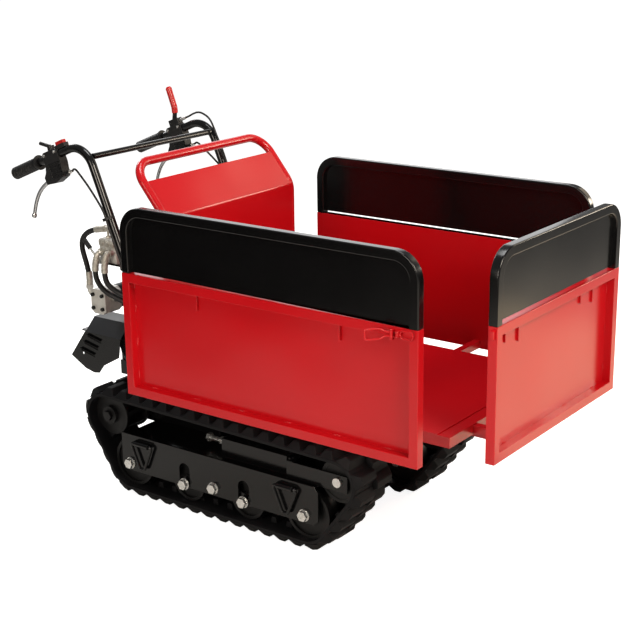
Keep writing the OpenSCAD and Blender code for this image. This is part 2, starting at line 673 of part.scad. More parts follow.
// Engine
engine_y = [-40, 140];
shelf_h = 103;
seat = 0.3;
module engine_block() color(alu) {
    translate([crank_x - 100, engine_y[0], deck_z]) cube([200, engine_y[1] - engine_y[0], 24]);
    difference() {
        translate([crank_x - 88, engine_y[0] + 6, deck_z + 20]) cube([176, engine_y[1] - engine_y[0] - 12, 180]);
        for (s = [-1, 1]) translate([crank_x + s * 98, engine_y[0], deck_z + 214]) rotate([0, 45, 0])
            cube([60, 400, 60], center = true);
    }
    cross_bore(crank_x, engine_y[0] - 14, crank_z, 62, 24);
    cross_bore(crank_x, pump_y + pump_size[1], crank_z, 40, engine_y[0] - pump_y - pump_size[1] - 10);
    translate([crank_x + 60, 45, crank_z - 10]) rotate([0, 65, 0]) {
        cylinder(r = 40, h = 150);
        for (k = [0:7]) translate([-46, -58, 36 + k * 12]) cube([92, 116, 5]);
        translate([-44, -54, 134]) cube([88, 108, 26]);
    }
    translate([crank_x + 80, -62, crank_z + shelf_h - 8]) cube([126, 202, 8]);
}
module recoil_cover() color(black) difference() {
    translate([crank_x, engine_y[1] - 6, crank_z]) rotate([-90, 0, 0]) {
        cylinder(r = 96, h = 34);
        translate([0, 0, 33]) cylinder(r1 = 90, r2 = 62, h = 22);
    }
    translate([crank_x, engine_y[1] - 7, crank_z]) rotate([-90, 0, 0]) cylinder(r = 84, h = 30);
    for (a = [0:30:330]) translate([crank_x, engine_y[1] + 10, crank_z]) rotate([0, a, 0])
        translate([32, 0, -4]) cube([34, 60, 8]);
}
module fuel_tank() color(black) {
    r = 22;
    translate([crank_x - 92, engine_y[0] - 4, deck_z + 200 + seat]) linear_extrude(96) hull()
        for (x = [r, 160 - r], y = [r, 174 - r]) translate([x, y]) circle(r = r, $fn = 32);
    translate([crank_x - 12, 46, deck_z + 295 + seat]) cylinder(r = 30, h = 22);
}
module muffler() color(grey) translate([crank_x + 96, 52, crank_z + shelf_h + seat]) {
    cube([110, 88, 92]);
    for (k = [0:4]) translate([110 - over, 8, 10 + k * 15]) cube([5, 72, 8]);
    translate([88, 87, 70]) rotate([-90, 0, 0]) cylinder(r = 13, h = 22);
}
module air_cleaner() color(black) translate([crank_x + 96, -62, crank_z + shelf_h + seat]) {
    cube([110, 104, 70]);
    translate([8, 8, 69]) cube([94, 88, 24]);
    translate([55, 52, 92]) cylinder(r = 12, h = 10);
}

// Folded guard on the right of the engine deck, with three louvres
guard_y = -250;
guard_t = 2.5;
shoulder_z = 500;
guard_top = [-205, 543];
module guard_side() polygon([[-702, shoulder_z], [-776, 402], [-712, 367], [-672, 358], [-648, 362],
    [-624, 392], [-552, 432], [-540, shoulder_z]]);
module belt_guard() color(grey) {
    difference() {
        upright(guard_y + guard_t, guard_t) guard_side();
        for (k = [0:2]) translate([-694 - 17 * k, guard_y - over, 482 - 27 * k]) rotate([0, 12, 0]) cube([64, 5, 9]);
        translate([-719, guard_y - over, 420]) rotate([-90, 0, 0]) cylinder(r = 4, h = 5);
    }
    for (k = [0:2]) translate([-694 - 17 * k, guard_y, 491 - 27 * k]) rotate([0, 12, 0]) rotate([-25, 0, 0])
        translate([0, -8, -1]) cube([64, 9, 2]);
    slope = atan2(guard_top[1] - shoulder_z, guard_top[0] - guard_y);
    slope_l = norm([guard_top[1] - shoulder_z, guard_top[0] - guard_y]);
    translate([-702, guard_y, shoulder_z]) rotate([slope, 0, 0]) translate([0, 0, -guard_t]) cube([162, slope_l, guard_t]);
    translate([-702, guard_top[0] - over, guard_top[1] - guard_t]) cube([162, 70, guard_t]);
    rise = atan2(shoulder_z - 402, -702 + 776);
    translate([-776, guard_y, 402]) rotate([0, -rise, 0]) cube([norm([74, 98]), -deck_y - guard_y - over, guard_t]);
    translate([-702, guard_top[0] + 67, deck_z + seat]) cube([162, guard_t, guard_top[1] - deck_z - seat]);
}

// Hydraulics
module hydraulic_pump() color(alu) {
    s = pump_size;
    cap = 20;
    difference() {
        translate([crank_x - s.x / 2, pump_y, crank_z - s.z / 2]) cube([s.x, s.y, s.z]);
        for (z = [-1, 1]) for (x = [-1, 1]) translate([crank_x + x * s.x / 2, pump_y - over, crank_z + z * s.z / 2])
            rotate([0, 45, 0]) translate([-9, 0, -9]) cube([18, s.y + 2 * over, 18]);
        translate([crank_x - s.x, pump_y + cap, crank_z - s.z]) cube([2 * s.x, 1.5, 2 * s.z]);
    }
    translate([crank_x - s.x / 2 + 4, pump_y + cap - over, crank_z - s.z / 2 + 4]) cube([s.x - 8, 4, s.z - 8]);
    color(black) for (x = [-21, 21], z = [-23, 23]) cross_bore(crank_x + x, pump_y - 8, crank_z + z, 6.5, 9);
    bent_rod([[crank_x - s.x / 2 + 4, hose_y, crank_z + 14], [hose_x, hose_y, crank_z + 14], [hose_x, hose_y, hose_z]], 16, hose_d / 2);
    translate([hose_x, hose_y, hose_z - 12]) cylinder(r = hose_d / 2 + 4, h = 12, $fn = 6);
}
module control_valve() color(alu) {
    vx = valve_x;
    vy = valve_y;
    vz = valve_z;
    translate([vx[0], vy[0], vz[0]]) cube([vx[1] - vx[0], vy[1] - vy[0], vz[1] - vz[0]]);
    translate([banjo.x, banjo.y, vz[1] - over]) cylinder(r = 10, h = banjo.z - vz[1]);
    translate([banjo.x, banjo.y, banjo.z - 11]) cylinder(r = banjo_r, h = 22);
    translate([banjo.x, banjo.y, banjo.z + 10]) cylinder(r = 10, h = 9, $fn = 6);
    for (x = valve_port) cross_bore(x, vy[0] - 14, vz[0] + 38, 11, 15);
    for (y = [-10, 6]) translate([valve_pivot.x - 10, valve_pivot.y + y, valve_pivot.z - 8]) difference() {
        cube([vx[0] - valve_pivot.x + 12, 4, 18]);
        translate([10, -over, 8]) rotate([-90, 0, 0]) cylinder(r = 3, h = 6);
    }
    cross_bore(valve_pivot.x, valve_pivot.y - 10, valve_pivot.z, 3, 20);
}
module tip_lever() {
    knob = valve_pivot + [-57, 0, 57];
    dir = unit(knob - valve_pivot);
    color(zinc) difference() {
        union() {
            cross_bore(valve_pivot.x, valve_pivot.y - 5, valve_pivot.z, 7, 10);
            rod(valve_pivot + 6 * dir, knob - 20 * dir, 4);
        }
        cross_bore(valve_pivot.x, valve_pivot.y - 6, valve_pivot.z, 3 + run, 12);
    }
    color(black) rod(knob - 30 * dir, knob + 6 * dir, 8);
}
tank_x = [-520, -405];
tank_y = [-200, -80];
module oil_tank() color(black) {
    translate([tank_x[0], tank_y[0], deck_z]) cube([tank_x[1] - tank_x[0], tank_y[1] - tank_y[0], 170]);
    translate([(tank_x[0] + tank_x[1]) / 2, (tank_y[0] + tank_y[1]) / 2, deck_z + 169]) cylinder(r = 24, h = 22);
}
pressure_hose = [[hose_x, hose_y, hose_z + seat], [hose_x, hose_y, hose_z + 34], [-692, -237, 742],
    [-702, -239, 782], [-698, -241, 816], [-674, -244, 842], [-640, -247, 858],
    [-600, banjo.y, 869], [-574, banjo.y, banjo.z], [banjo.x - banjo_r - seat, banjo.y, banjo.z]];
lift_hose = [[valve_port[0], valve_y[0] - 14 - seat, valve_z[0] + 38], [valve_port[0], -296, valve_z[0] + 38],
    [-572, -304, 790], [-581, -304, 745], [-578, -300, 706], [-556, -284, 668],
    [-500, -262, 640], [-440, -244, 610], [-390, -215, 560], [-366, -160, 490], [-362, -100, 420],
    [-354, -62, 345], [-300, -48, 310], [-200, -44, 300], [-60, -44, 290], [40, -44, 262], [84, -44, 234], [98, -40, 224]];
lower_hose = [[valve_port[1], valve_y[0] - 14 - seat, valve_z[0] + 38], [valve_port[1], -296, valve_z[0] + 38],
    [-532, -304, 790], [-539, -304, 748], [-534, -300, 706], [-506, -284, 676],
    [-456, -264, 652], [-412, -236, 622], [-372, -190, 570], [-350, -130, 490], [-352, -70, 420],
    [-344, -32, 345], [-280, -18, 318], [-180, -14, 306], [-50, -14, 300], [50, -16, 290], [110, -22, 275], [140, -24, 262]];
suction_hose = [[crank_x + pump_size.x / 2 + seat, -226, crank_z + 10], [-572, -226, crank_z + 10],
    [-552, -218, crank_z + 14], [-538, -190, crank_z + 14], [tank_x[0] - 10, -170, crank_z + 14],
    [tank_x[0] - seat, -170, crank_z + 14]];
module hydraulic_hoses() color(black) for (h = [pressure_hose, lift_hose, lower_hose, suction_hose])
    soft_tube(h, hose_d / 2, 10, 2);
// Cylinder parts lie along +Z from the foot, then lean to their place
module along_cylinder() { translate([foot_x, 0, foot_z]) rotate([0, 90 - cyl_a, 0]) children(); }
barrel_top = cyl_l - 72;
barrel_foot = 28;
piston_at = barrel_foot + 14;
module cylinder_barrel() color(black) along_cylinder() {
    difference() {
        union() {
            rotate([90, 0, 0]) cylinder(r = pin_d / 2 + 9, h = 44, center = true);
            cylinder(r = 17, h = barrel_foot + over);
            translate([0, 0, barrel_foot]) cylinder(r = barrel_d / 2, h = barrel_top - barrel_foot);
            translate([0, 0, barrel_top - 30]) cylinder(r = barrel_d / 2 + 4, h = 30);
        }
        rotate([90, 0, 0]) cylinder(r = pin_d / 2 + run, h = 60, center = true);
        translate([0, 0, barrel_foot + 8]) cylinder(r = barrel_d / 2 - 6, h = barrel_top - barrel_foot - 38);
        translate([0, 0, barrel_foot + 10]) cylinder(r = rod_d / 2 + run, h = barrel_top);
    }
}
module cylinder_rod() color(zinc) along_cylinder() {
    eye_bore = pin_d / 2 + eye_play;
    difference() {
        union() {
            translate([0, 0, piston_at]) cylinder(r = rod_d / 2, h = cyl_l - piston_at - pin_d / 2 - eye_play - 2);
            translate([0, 0, piston_at]) cylinder(r = barrel_d / 2 - 6 - run, h = 24);
            translate([0, 0, cyl_l]) rotate([90, 0, 0]) cylinder(r = eye_bore + 9, h = 40, center = true);
        }
        translate([0, 0, cyl_l]) rotate([90, 0, 0]) cylinder(r = eye_bore, h = 50, center = true);
    }
}

// Handlebar and controls
module handle_run(r) bent_rod([leg_foot + [cos(leg_angle), 0, -sin(leg_angle)] * 30, handle_corner,
    grip_tip - 4 * grip_back], handle_bend, r);
module handlebar() color(black) {
    both_sides() difference() {
        handle_run(handle_r);
        handle_run(handle_r - tube_wall);
        translate([leg_foot.x - 60, -handle_y - 30, cross_z - 60]) cube([120, 60, 60]);
    }
    rod([crossbar_x, -handle_y + handle_r - over, crossbar_z], [crossbar_x, handle_y - handle_r + over, crossbar_z],
        bar_d / 2 - 4);
    leg_x = handle_corner_x + (handle_corner_z - valve_z[0]) / tan(leg_angle);
    shelf_t = 6;
    translate([0, 0, valve_z[0] - shelf_t]) difference() {
        linear_extrude(shelf_t) polygon([[valve_x[0] + 4, -274], [-500, -274], [leg_x - 30, -handle_y - 6],
            [leg_x - 8, -handle_y - 6], [leg_x - 8, -222], [valve_x[0] + 4, -222]]);
        translate([0, 0, -valve_z[0] + shelf_t]) handle_run(handle_r - 1);
    }
}
module grip() {
    ribs = 9;
    length = grip_l;
    back = grip_tip;
    front = grip_tip - length * grip_back;
    difference() {
        union() {
            rod(back, front, grip_d / 2 - 1.5);
            for (k = [0:ribs - 1]) rod(back - (10 + 12 * k) * grip_back, back - (17 + 12 * k) * grip_back, grip_d / 2);
            rod(back, back - 5 * grip_back, grip_d / 2);
            rod(front + 6 * grip_back, front, grip_d / 2 + 4);
        }
        rod(back - 4 * grip_back, front - 5 * grip_back, handle_r + run);
    }
}
module grips() color(rubber) both_sides() grip();

module perch() difference() {
    upright(perch_w / 2, perch_w) polygon([[-36, -22], [-36, 14], [-28, 20], [28, 20], [38, 14], [38, -30],
        [28, -76], [-14, -86], [-56, -80], [-58, -56], [-44, -42]]);
    rotate([0, 90, 0]) cylinder(r = handle_r + run, h = 200, center = true);
    translate([-90, -7, -100]) cube([60, 14, 52]);
    translate([lever_pivot.x, -perch_w, lever_pivot.y]) rotate([-90, 0, 0]) cylinder(r = 3, h = 2 * perch_w);
    for (k = [0:3]) for (s = [-1, 1]) translate([-20, s * perch_w / 2 - 2, -66 + 11 * k]) cube([50, 4, 5]);
}
module lever_pin() translate([lever_pivot.x, -perch_w / 2, lever_pivot.y]) rotate([-90, 0, 0])
    cylinder(r = 3, h = perch_w);
module control_housings() color(black) {
    both_sides() on_grip() {
        perch();
        lever_pin();
        translate([20, 0, cable_drop]) rotate([0, 90, 0]) cylinder(r = 7, h = 30);
        translate([48, 0, cable_drop]) rotate([0, 90, 0]) cylinder(r = 5, h = cable_out - 48);
    }
    on_grip() {
        translate([0, 0, 18]) cylinder(r = 13, h = 8);
        translate([switch_at - 2, -11, 12]) difference() {
            cube([46, 22, 14]);
            translate([-over, 11, -12]) rotate([0, 90, 0]) cylinder(r = handle_r + run, h = 50);
            translate([4, 3, 8]) cube([38, 16, 8]);
        }
        translate([0, 0, 25]) cylinder(r = 3, h = 14);
    }
    left_side() on_grip() for (y = [-13, 7]) translate([clutch_pivot.x - 14, y, 18]) difference() {
        cube([44, 6, clutch_pivot.y - 6]);
        translate([14, -over, clutch_pivot.y - 18]) rotate([-90, 0, 0]) cylinder(r = 4, h = 8);
    }
    left_side() on_grip() translate([clutch_pivot.x, -13, clutch_pivot.y]) rotate([-90, 0, 0])
        cylinder(r = 4, h = 26);
    left_side() on_grip() {
        translate([clutch_pivot.x + 24, -13, 18]) cube([6, 26, 22]);
        translate([clutch_pivot.x + 29, 0, clutch_pivot.y]) rotate([0, 90, 0]) cylinder(r = 5, h = cable_out - clutch_pivot.x - 29);
    }
}
module steering_lever() color(alu) on_grip() difference() {
    union() {
        translate([lever_pivot.x, -6, lever_pivot.y]) rotate([-90, 0, 0]) cylinder(r = 10, h = 12);
        bent_rod([[lever_pivot.x - 4, 0, lever_pivot.y - 2], [-132, 0, -96], [-184, 0, -152]], 70, lever_r);
        translate([-184, 0, -152]) rotate([0, atan2(-52, -56), 0]) rotate_extrude()
            polygon([[0, -9], [lever_r, -9], [lever_r + 3, -5], [lever_r + 3, 4], [lever_r - 1, 9], [0, 9]]);
    }
    translate([lever_pivot.x, -7, lever_pivot.y]) rotate([-90, 0, 0]) cylinder(r = 3 + run, h = 14);
}
module right_steering_lever() steering_lever();
module left_steering_lever() left_side() steering_lever();
module clutch_lever() left_side() on_grip() translate([clutch_pivot.x, 0, clutch_pivot.y]) rotate([0, grip_angle, 0]) {
    color(black) difference() {
        union() {
            rotate([90, 0, 0]) cylinder(r = 9, h = 12, center = true);
            upright(3, 6) polygon([[-8, 0], [9, 0], [14, 40], [-2, 44]]);
        }
        rotate([90, 0, 0]) cylinder(r = 4 + run, h = 14, center = true);
    }
    color(red) bent_rod([[6, 0, 36], [4, 0, 56], [-19, 0, 119]], 40, 11);
    color(red) translate([-19, 0, 119]) rotate([0, atan2(-23, 63), 0]) rotate_extrude()
        polygon([[0, -3], [11.4, -3], [11.4, 2], [7, 8], [0, 8]]);
}
module throttle_lever() color(black) on_grip() difference() {
    union() {
        translate([0, 0, 26.4]) cylinder(r = 12, h = 8);
        rod([-4, 0, 34], [-42, 0, 56], 6);
    }
    translate([0, 0, 20]) cylinder(r = 3 + run, h = 30);
}
module stop_button() color(red) on_grip() translate([switch_at + 3, 0, 0]) {
    translate([0, -7.5, 24.4]) cube([36, 15, 12]);
    translate([0, -7.5, 32]) cube([36, 15, 5]);
}
// A place on the outer side of the handlebar's leg, where the cable is tied to it
function leg_side(z) = [handle_corner_x + (handle_corner_z - z) / tan(leg_angle) - 4, -handle_y - 18.5, z];
right_cable = [grip_point(cable_out + seat, 0, cable_drop), grip_point(cable_out + 14, 0, cable_drop),
    [-612, -302, 1039], [-570, -308, 1003], leg_side(950), leg_side(900), leg_side(800), leg_side(720), leg_side(640),
    leg_side(560), [-340, -308, 480], [-322, -304, 424]];
clutch_cable = [grip_point(cable_out + seat, 0, clutch_pivot.y), grip_point(cable_out + 14, 0, clutch_pivot.y),
    [-640, -297, 1176], [-586, -292, 1158], [-548, -284, 1104], [-512, -280, 1037],
    [-462, -280, 900], [-420, -280, 780], [-384, -280, 680], [-348, -278, 580], [-318, -276, 500]];
function mirrored(c) = [for (q = c) [q.x, -q.y, q.z]];
cable_d = 7;
module control_cables() color(black) for (c = [right_cable, mirrored(right_cable), mirrored(clutch_cable)])
    soft_tube(c, cable_d / 2, 8, 2);

// Bed
module hinge_pin() color(zinc) cross_bore(hinge_x, -rail_y + 2 - ear_t + 4, hinge_z, pin_d / 2, 2 * rail_y + 2 * ear_t - 12);
module guide(outer) {
    w = outer ? guide_w : bar_w + 2 * bar_play;
    extra = outer ? 0 : over;
    for (x = bar_at) translate([bed_rear_x + x - w / 2, -floor_w / 2 - extra, bar_z - w / 2])
        cube([w, floor_w + 2 * extra, w]);
    for (y = [-front_bar_y, front_bar_y]) translate([bar_front + guide_w / 2 + (outer ? -over : over), y - w / 2, bar_z - w / 2])
        cube([floor_front - bar_front - guide_w / 2 + (outer ? over : 0), w, w]);
}
// The headboard's foot stands in a step at the rear of the floor
foot_w = 24;
module bed_floor() color(red) {
    edge_h = guide_w + sheet_t;
    edge_t = 4;
    front_w = 40;
    lap = 10;
    difference() {
        union() {
            translate([bed_rear_x, -floor_w / 2, floor_z - sheet_t]) cube([floor_l - front_w, floor_w, sheet_t]);
            for (s = [0, 1]) translate([bed_rear_x, s * (floor_w - edge_t) - floor_w / 2, floor_z - edge_h])
                cube([floor_l, edge_t, edge_h - sheet_t + over]);
            translate([bed_rear_x, -floor_w / 2, floor_z - edge_h]) cube([edge_t, floor_w, edge_h - sheet_t + over]);
            translate([floor_front - front_w - lap, -floor_w / 2, floor_z - edge_h])
                cube([front_w + lap, floor_w, edge_h - sheet_t + tiny]);
            translate([bed_rear_x, -floor_w / 2, floor_z - 2 * sheet_t]) cube([foot_w + lap, floor_w, 1.5 * sheet_t]);
            guide(true);
            for (s = [-1, 1]) translate([bed_rear_x, s > 0 ? beam_y[0] : -beam_y[1], beam_z])
                cube([floor_l, beam_y[1] - beam_y[0], beam_h]);
            for (s = [-1, 1]) upright(s > 0 ? beam_y[1] - 2 : -beam_y[1] + 2 + ear_t, ear_t) union() {
                translate([hinge_x, hinge_z]) circle(r = pin_d / 2 + 8);
                translate([hinge_x - 18, hinge_z]) square([36, beam_z - hinge_z + over]);
            }
            for (s = [-1, 1]) upright(s * 30 + 4, 8) union() {
                translate([head_x, head_z]) circle(r = pin_d / 2 + 12);
                translate([head_x - 22, head_z]) square([44, floor_z - sheet_t - head_z + over]);
            }
            cross_bore(head_x, -40, head_z, pin_d / 2, 80);
        }
        guide(false);
        translate([bed_rear_x - over, -floor_w / 2 - over, floor_z - sheet_t]) cube([foot_w + over, floor_w + 2 * over, 2 * sheet_t]);
        cross_bore(hinge_x, -floor_w / 2, hinge_z, pin_d / 2 + run, floor_w);
    }
}

sheet_x = bed_rear_x + 20;
loop_r = loop_d / 2;
loop_y = floor_w / 2 - 3 - loop_r;
loop_x = sheet_x - loop_r + 2;
knee_z = floor_z + knee_h;
loop_top = [loop_x - lean_l * sin(lean), knee_z + lean_l * cos(lean)];
module headboard() color(red) {
    bend = 70;
    foot = floor_z - sheet_t;
    bent_rod([[loop_x, -loop_y, foot], [loop_x, -loop_y, knee_z], [loop_top[0], -loop_y, loop_top[1]],
        [loop_top[0], loop_y, loop_top[1]], [loop_x, loop_y, knee_z], [loop_x, loop_y, foot]], bend, loop_r);
    top = [sheet_x - lean_sheet_l * sin(lean), knee_z + lean_sheet_l * cos(lean)];
    upright(loop_y, 2 * loop_y) polygon([[sheet_x, foot], [sheet_x, knee_z], top,
        top - [sheet_t * cos(lean), sheet_t * sin(lean)], [sheet_x - sheet_t, knee_z - sheet_t * tan(lean / 2)],
        [sheet_x - sheet_t, foot]]);
}

// Panel with its outer face on Y = 0 and its length along X
module panel(l) {
    difference() {
        cube([l, frame_t, panel_h]);
        translate([frame_t, -over, frame_t]) cube([l - 2 * frame_t, frame_t - sheet_t + over, panel_h - 2 * frame_t]);
        for (x = [tube_wall, l - frame_t + tube_wall]) translate([x, tube_wall, tube_wall])
            cube([post_hole, post_hole, panel_h]);
        for (z = [tube_wall, panel_h - frame_t + tube_wall]) translate([frame_t - over, tube_wall, z])
            cube([l - 2 * frame_t + 2 * over, post_hole, post_hole]);
    }
}
module rib(x, h) translate([x - 5, frame_t - sheet_t - 10, panel_h - frame_t - h]) cube([10, 10 + tiny, h + tiny]);
// Two lugs and a pin standing out from the panel
module latch_lugs(x, low, high) translate([x, -latch_y, latch_z]) {
    lug_t = 4;
    lug_r = 6;
    for (z = [low - lug_t, high]) translate([0, 0, z]) {
        cylinder(r = lug_r, h = lug_t);
        translate([-lug_r, 0, 0]) cube([2 * lug_r, latch_y + over, lug_t]);
    }
    translate([0, 0, low - lug_t]) cylinder(r = wire, h = high - low + 2 * lug_t);
}
module side_panel() color(red) {
    translate([bed_rear_x, -side_out, panel_z]) {
        panel(panel_l);
        for (x = [277, 785]) rib(x, 50);
        for (x = bar_at) translate([x - bar_w / 2, frame_t - over, bar_z - panel_z - bar_w / 2])
            cube([bar_w, side_bar_l + over, bar_w]);
    }
    translate([0, -side_out, 0]) latch_lugs(latch_x, -12, 10);
    translate([0, -side_out, 0]) latch_lugs(bail_x, -4, 6);
}
module right_panel() side_panel();
module left_panel() left_side() side_panel();
module front_panel() color(red) translate([front_out, -front_half, panel_z]) rotate([0, 0, 90]) {
    width = 2 * front_half;
    panel(width);
    for (x = [84, width - 208]) rib(x, 24);
    for (x = [157, width - 130]) rib(x, 53);
    for (y = [-front_bar_y, front_bar_y]) translate([front_half + y - bar_w / 2, frame_t - over, bar_z - panel_z - bar_w / 2])
        cube([bar_w, front_bar_l + over, bar_w]);
    for (x = [-12, width]) translate([x, 6, panel_h - 34]) cube([12, 12, 26]);
}

// Board with its outer face on Y = 0, its length along X and its foot on Z = 0
module board_outline(l, inset) {
    r = board_corner_r - inset;
    translate([inset, 0]) square([l - 2 * inset, board_h - inset - r]);
    translate([board_corner_r, 0]) square([l - 2 * board_corner_r, board_h - inset]);
    for (x = [board_corner_r, l - board_corner_r]) translate([x, board_h - board_corner_r]) circle(r = r);
}
module board(l) color(black) {
    translate([0, frame_t, 0]) rotate([90, 0, 0]) linear_extrude(frame_t) difference() {
        board_outline(l, 0);
        translate([0, -over]) board_outline(l, frame_t);
        translate([frame_t, -over]) square([l - 2 * frame_t, 4]);
    }
    translate([0, frame_t / 2 + sheet_t / 2, 0]) rotate([90, 0, 0]) linear_extrude(sheet_t) difference() {
        board_outline(l, frame_t - over);
        translate([0, -over]) square([l, over + 3]);
    }
    for (x = [frame_t / 2, l - frame_t / 2]) translate([x - spigot_w / 2, frame_t / 2 - spigot_w / 2, -spigot_l])
        cube([spigot_w, spigot_w, spigot_l + over]);
}
module right_board() translate([bed_rear_x, -side_out, board_z]) board(panel_l);
module left_board() left_side() right_board();
module front_board() translate([front_out, -front_half, board_z]) rotate([0, 0, 90]) board(2 * front_half);

// Toggle latch on the outside of a side panel, standing a little open
wire = 3;
module on_latch() { translate([latch_x, -side_out - latch_y, latch_z]) rotate([0, 0, latch_open]) children(); }
module latch_handle() color(red) on_latch() difference() {
    union() {
        translate([0, 0, -11.5]) cylinder(r = 6, h = 21);
        bent_rod([[-4, 0, 5], [-16, 0, 5], [-30, 0, 12], [-70, 0, 8], [-70, 0, -20], [-30, 0, -16], [-16, 0, -7],
            [-4, 0, -7]], 6, wire);
    }
    translate([0, 0, -13]) cylinder(r = wire + run, h = 26);
}
module latch_bail() color(red) translate([bail_x, -side_out - latch_y, latch_z]) difference() {
    union() {
        translate([0, 0, -3.5]) cylinder(r = 5, h = 9);
        bent_rod([[4, 0, 3.1], [10, 0, 3.1], [14, 0, 12], [44, 0, 14], [49, 0, 3], [44, 0, -9], [14, 0, -9],
            [10, 0, -1.1], [4, 0, -1.1]], 3, 1.9);
    }
    translate([0, 0, -5]) cylinder(r = wire + run, h = 12);
}
module right_latch_handle() latch_handle();
module left_latch_handle() left_side() latch_handle();
module right_latch_bail() latch_bail();
module left_latch_bail() left_side() latch_bail();

main_frame();
outer_track_plates();
idler_forks();
axle_bolts();
right_track();
left_track();
gearbox();
right_sprocket();
left_sprocket();
right_idler();
left_idler();
right_rear_wheel();
right_front_wheel();
left_rear_wheel();
left_front_wheel();
right_rear_roller();
right_front_roller();
left_rear_roller();
left_front_roller();
right_bogie();
left_bogie();
right_rear_ring();
right_front_ring();
left_rear_ring();
left_front_ring();
engine_block();
recoil_cover();
fuel_tank();
muffler();
air_cleaner();
belt_guard();
hydraulic_pump();
control_valve();
oil_tank();
hydraulic_hoses();
tip_lever();
cylinder_barrel();
cylinder_rod();
handlebar();
grips();
control_housings();
right_steering_lever();
left_steering_lever();
clutch_lever();
throttle_lever();
stop_button();
control_cables();
hinge_pin();
bed_floor();
headboard();
right_panel();
left_panel();
front_panel();
right_board();
left_board();
front_board();
right_latch_handle();
left_latch_handle();
right_latch_bail();
left_latch_bail();
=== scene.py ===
# %% [markdown]
# # A tracked power carrier
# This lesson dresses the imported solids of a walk-behind tracked dumper. The solids fix every size and
# every joint. Blender gives them rounded edges, rubber, paint, hoses and light.

# %% Load the solids
import json
import math

import bmesh
import bpy
from mathutils import Matrix, Vector

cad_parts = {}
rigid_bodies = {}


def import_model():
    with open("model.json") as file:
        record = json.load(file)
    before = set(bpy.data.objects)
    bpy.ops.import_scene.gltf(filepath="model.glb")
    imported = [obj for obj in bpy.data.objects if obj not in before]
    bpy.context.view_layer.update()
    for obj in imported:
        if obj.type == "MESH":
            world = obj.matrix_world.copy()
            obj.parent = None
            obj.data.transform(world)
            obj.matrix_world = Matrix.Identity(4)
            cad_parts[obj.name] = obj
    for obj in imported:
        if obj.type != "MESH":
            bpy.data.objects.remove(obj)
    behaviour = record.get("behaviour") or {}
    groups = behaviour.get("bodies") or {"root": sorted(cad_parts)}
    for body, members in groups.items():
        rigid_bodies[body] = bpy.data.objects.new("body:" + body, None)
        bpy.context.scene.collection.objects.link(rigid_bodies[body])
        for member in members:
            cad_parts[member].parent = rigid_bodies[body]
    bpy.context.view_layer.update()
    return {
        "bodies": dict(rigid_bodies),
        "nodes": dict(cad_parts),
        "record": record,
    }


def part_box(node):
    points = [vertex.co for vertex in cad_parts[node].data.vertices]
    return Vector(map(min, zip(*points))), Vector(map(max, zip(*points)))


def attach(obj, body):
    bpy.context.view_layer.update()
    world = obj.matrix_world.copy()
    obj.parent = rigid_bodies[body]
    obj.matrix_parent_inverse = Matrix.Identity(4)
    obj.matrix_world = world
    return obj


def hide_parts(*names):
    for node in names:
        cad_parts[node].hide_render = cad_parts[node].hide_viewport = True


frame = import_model()
nodes = frame["nodes"]
scene = bpy.context.scene
MM = 0.001
slot_of = {row["node"]: row["material_slot"] for row in frame["record"]["subparts"]}
body_of = {}
for body_name, empty in frame["bodies"].items():
    for node_name, node in nodes.items():
        if node.parent == empty:
            body_of[node_name] = body_name

# %% [markdown]
# ## The camera
# The photograph was taken from the machine's front right corner, a little above the boards. Solving the
# panel corners gave the place and the lens, so the camera is put there by its three axes instead of being
# aimed by eye.

# %% Camera
LENS_MM = 78.12
SENSOR_MM = 36
CAMERA_PLACE = (2.6045, -3.3828, 1.8983)
camera_data = bpy.data.cameras.new("camera")
camera_data.lens = LENS_MM
camera_data.sensor_width = SENSOR_MM
camera = bpy.data.objects.new("camera", camera_data)
scene.collection.objects.link(camera)
view_right = Vector((0.8059, 0.5918, -0.0127))
view_up = Vector((-0.1631, 0.2426, 0.9563))
view_back = Vector((0.5691, -0.7687, 0.2920))
turn = Matrix((view_right, view_up, view_back)).transposed()
camera.matrix_world = Matrix.Translation(CAMERA_PLACE) @ turn.to_4x4()
scene.camera = camera
print("camera lens", camera_data.lens)

# %% [markdown]
# ## Finishes
# A screen colour is written as sRGB, but light adds up in linear numbers, so one function turns a hex value
# into the numbers that a shader needs. One more function adds a node, and everything else is built on it.

# %% Colour and node helpers


def linear(hex_colour):
    parts = [int(hex_colour[i:i + 2], 16) / 255 for i in (1, 3, 5)]
    lit = [c / 12.92 if c <= 0.04045 else ((c + 0.055) / 1.055) ** 2.4 for c in parts]
    return (*lit, 1.0)


def add(tree, kind, values=None, **settings):
    """One node: its settings, and for each input a number, a colour or another node's output."""
    made = tree.nodes.new(kind)
    for key, value in settings.items():
        setattr(made, key, value)
    for socket, value in (values or {}).items():
        if isinstance(value, bpy.types.NodeSocket):
            tree.links.new(value, made.inputs[socket])
        else:
            made.inputs[socket].default_value = value
    return made


def per_mm(size):
    """Noise scale at which one cell is about this many millimetres."""
    return 1000 / size


# %% [markdown]
# Most finishes here are a thin layer over metal, rubber or plastic. They differ in two colours that drift
# into each other over some distance, in how rough they are, and in a fine relief. One recipe holds these,
# and each finish names its own sizes.

# %% A coated surface
BUCKLE_LENGTH = 260


